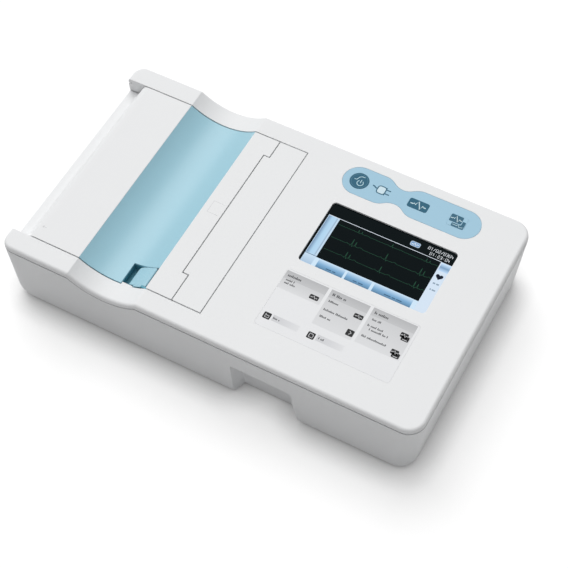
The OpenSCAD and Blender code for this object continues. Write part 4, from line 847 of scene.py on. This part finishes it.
cover = [bar(mitred(brow), -cover_half, cover_half, 0.15),
         slab(mitred(softened(strip, 0.4)), cover_in, top, lip_r),
         bar(seat(seat_0, seat_1), pocket_y + 2.2, cover_half - 0.2, 0.2),
         bar(seat(seat_0, pocket_x[0] - 1.5), -cover_half + 0.2, pocket_y + 2.1, 0.2)]
for side, web_z in webs.items():
    cover.append(bar(wall(rail_x, web_z, web_foot), *sorted(side * web_y), 0.3))
    cover.append(box(rail_0, rail_1, *sorted(side * runner_y), *runner_z))
for ear_y in (-58.4, 62.3):
    cover.append(box(*ear_x, ear_y, ear_y + ear_t, ear_foot, cover_in + 0.2))
build("cover_shell", cover, white_abs, "paper_cover", ["paper_cover"])
marks = [[(-39.2, -1.6), (-47.6, -1.6), (-47.6, 8.8), (-39.2, 8.8)], [(-141.4, -67.2), (-144.6, -67.2)],
         [(-143.4, -66.2), (-144.6, -67.2), (-143.4, -68.2)]]
faint_lines = [stroke(line, 0.35, top + 0.012, "#d2d3d5") for line in marks]
printed("cover_marks", faint_lines, print_finish, "paper_cover")


# Scoop panel: a pale blue satin moulding clipped into the cover's round seat, with an opening for
# the latch at its front right corner. Under the opening hangs the latch's pocket, painted deeper teal as
# shade.
def patch(x, y, height):
    """A flat grid of the places x by y at one height."""
    across, along = np.meshgrid(x, y)
    points = np.column_stack([across.ravel(), along.ravel(), np.full(across.size, height)])
    return points, [grid(len(y), len(x), False)]


blue_plastic = finish("blue_plastic", "#a2cedd", 0.36, 2600, 1.5e-5, 0.015, Specular_IOR_Level=0.4)
# The pocket's blue is darkened to a deeper teal: painted shade for the deep recess.
pocket_painted_shade = finish("pocket_painted_shade", "#5aa2b5", 0.45, 2600, 1.5e-5, 0.02, Specular_IOR_Level=0.3)
sheet_t, sheet_edge = 1.4, 0.25
sheet_x = (scoop_0 + 0.05, pocket_x[0], scoop_1 - 0.05)
left_x, right_x = np.linspace(*sheet_x[:2], 40)[1:-1], np.linspace(*sheet_x[1:], 26)[1:-1]


def sheet_sides(grow):
    """Places of the sheet's sides across and along, each moved out by the growth."""
    across = (sheet_x[0] - grow, sheet_x[1] + grow, sheet_x[2] + grow)
    return across, (-cover_half - grow, pocket_y - grow, cover_half + grow)


def sheet_plan(grow):
    """Plan of the sheet: a rectangle less the corner of the latch, with points all along its front
    and back."""
    (low, step, high), (front, ledge, back) = sheet_sides(grow)
    return np.concatenate([
        level([low, *left_x, step], front), level([step, *right_x, high], ledge),
        level([high, *right_x[::-1], step, *left_x[::-1], low], back), [(low, ledge)]])


scoop = [skin(sheet_plan, eased(-sheet_t, 0, sheet_edge, 7))]
for height, grow in ((-sheet_t, 0), (0, -sheet_edge)):
    (low, step, high), (front, ledge, back) = sheet_sides(grow)
    scoop += [patch([low, *left_x, step], [front, ledge, back], height),
              patch([step, *right_x, high], [ledge, back], height)]
for points, _ in scoop:
    points[:, 2] += arc_z(points[:, 0], wave_r)
build("scoop_sheet", scoop, blue_plastic, "paper_cover", ["scoop_panel"])
pocket_0, pocket_1, pocket_foot = pocket_x[0] - 1.2, pocket_x[1] + 1.2, 44.8
wall_x = np.linspace(pocket_0, pocket_1, 24)
wall_z = np.minimum(arc_z(wall_x, wave_r + 0.7), 61.2)
wall_foot, left_top = pocket_foot + 0.1, arc_z(pocket_x[0], wave_r) - 0.7
pocket = [bar(wall(wall_x, wall_z, pocket_foot), pocket_y + 0.15, pocket_y + 2, 0.1),
          box(pocket_0, pocket_1, -cover_half, pocket_y + 1, pocket_foot, 46.0),
          box(pocket_0, pocket_x[0] - 0.15, -cover_half, pocket_y + 0.5, wall_foot, left_top, 0.2),
          box(pocket_x[1], pocket_x[1] + 1.15, -75.8, pocket_y + 0.5, wall_foot, 57.0, 0.2),
          box(-57.0, -51.8, -cover_half, -76.05, 56.6, 59.8)]
build("latch_pocket", pocket, pocket_painted_shade, "paper_cover")
dress(steel, "latch_pin")


# Latch lever: the same blue plastic, a ribbed thumb pad that turns down about a pin at its right
# end. Its pad sinks below the scoop towards its free end; a steel spring under it brings it back.
def swung(outline, pivot, y0, y1, corner):
    """A side view carried along Y, drawn in towards the pivot over the last corner before y1, by
    1 - sqrt(1 - t*t), so that the free end is rounded in plan."""
    y = np.concatenate([[y0], y1 - corner * np.cos(np.linspace(0, np.pi / 2, 9))])
    t = np.clip((y - y1 + corner) / corner, 0, 1)
    reach = np.linalg.norm(outline - pivot, axis=1).max()
    share = 1 - corner / reach * (1 - np.sqrt(1 - t ** 2))
    return tube(np.stack([np.insert(pivot + (outline - pivot) * size, 1, place, axis=1)
                          for size, place in zip(share, y)]))


pivot, nose_r = np.array([-55.0, 58.6]), 1.3
nose = sweep(*pivot, nose_r, -60, 105, 14)
pad_high, pad_fall, pad_crown, pad_long, rib_high, rib_count = 59.85, 7.6, 0.15, 13.1, 0.16, 10
share = np.linspace(0.02, 1, 120)
ribs = rib_high * (0.5 - 0.5 * np.cos(2 * np.pi * rib_count * share))
pad_z = pad_high - pad_fall * share + pad_crown * np.sin(np.pi * share) + ribs
pad = np.column_stack([pivot[0] - 0.3 - pad_long * share, pad_z])
lever = np.concatenate([nose, pad, [(-68.5, 50.4), (-68.2, 50.1), (-58.5, 55.6)]])
front_pad = pad[(pad[:, 0] > -64.4) & (pad[:, 0] < -57.4)]
front_edge = np.concatenate([front_pad, front_pad[::-1] - [0, 1.2]])
build("latch_pad", [swung(lever, pivot, -75.8, -59.3, 3.0), bar(mitred(front_edge), -77.3, -75.6, 0.1)],
      blue_plastic, "latch", ["latch_lever"], crease=50)
spring_x, spring_y, spring_z = -65.2, -67.55, 46.0
points, faces = coil(3, 2.2, 0.3, 4.4)
return_spring = build("return_spring", [(points + [spring_x, spring_y, spring_z], faces)], steel,
                      "paper_cover", ["latch_spring"])
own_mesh(return_spring)


# Platen: a black rubber roller on a steel shaft in bronze bushes, carried by the cover's ears.
# Its acetal gear meets the idler when the cover is shut.
dress(rubber, "platen_rubber")
dress(steel, "platen_shaft")
dress(bronze, "platen_bushes")


# Studio: a white table under even white light, with a large soft lamp high at the back left, so
# that the front wall is in shade and a soft shadow falls in front and to the right.
def seen(tree):
    """1 for a ray from the camera, a mirror or a glass, and 0 for the rest: the largest of the marks."""
    marks = ("Is Camera Ray", "Is Glossy Ray", "Is Transmission Ray")
    rays = [Wire(tree).add("ShaderNodeLightPath", {}, out=mark) for mark in marks]
    return rays[0].math("MAXIMUM", rays[1]).math("MAXIMUM", rays[2])


scene.view_settings.view_transform = "Standard"
world = bpy.data.worlds.new("studio")
scene.world = world
world.use_nodes = True
sky = world.node_tree.nodes["Background"]
sky.inputs["Color"].default_value = (1, 1, 1, 1)
fill_level, lift_level, shade_reach, shade_power = 0.37, 0.52, 0.021, 1.4
direct = seen(world.node_tree)
direct.feed(direct * (1 - fill_level) + fill_level, sky.inputs["Strength"])
light = bpy.data.lights.new("window", "SUN")
light.energy, light.angle = 1.98, np.radians(48)
lamp = bpy.data.objects.new("window", light)
lamp.rotation_euler = Vector((-0.46, 0.48, 1.0)).to_track_quat("Z", "Y").to_euler()
scene.collection.objects.link(lamp)
reach, table_grey = 6000, "#cbcbcb"
points, _, faces = tile(-reach, reach, -reach, reach, 0, table_grey)
table = joined("table_top", [(points, [faces])])
table_white = finish("table_white", table_grey, 0.9, 400, 1e-6, 0.0, Emission_Strength=lift_level)
shader = table_white.node_tree.nodes["Principled BSDF"]
# The table is lifted to white for the eye only, and less so where the machine stands close over it:
# painted contact shade.
lift = seen(table_white.node_tree)
openness = lift.add("ShaderNodeAmbientOcclusion", {"Distance": shade_reach}, out=1)
lift.feed(lift * openness.math("POWER", shade_power), shader.inputs["Emission Color"])
table.materials.append(table_white)
floor = bpy.data.objects.new("table_top", table)
scene.collection.objects.link(floor)
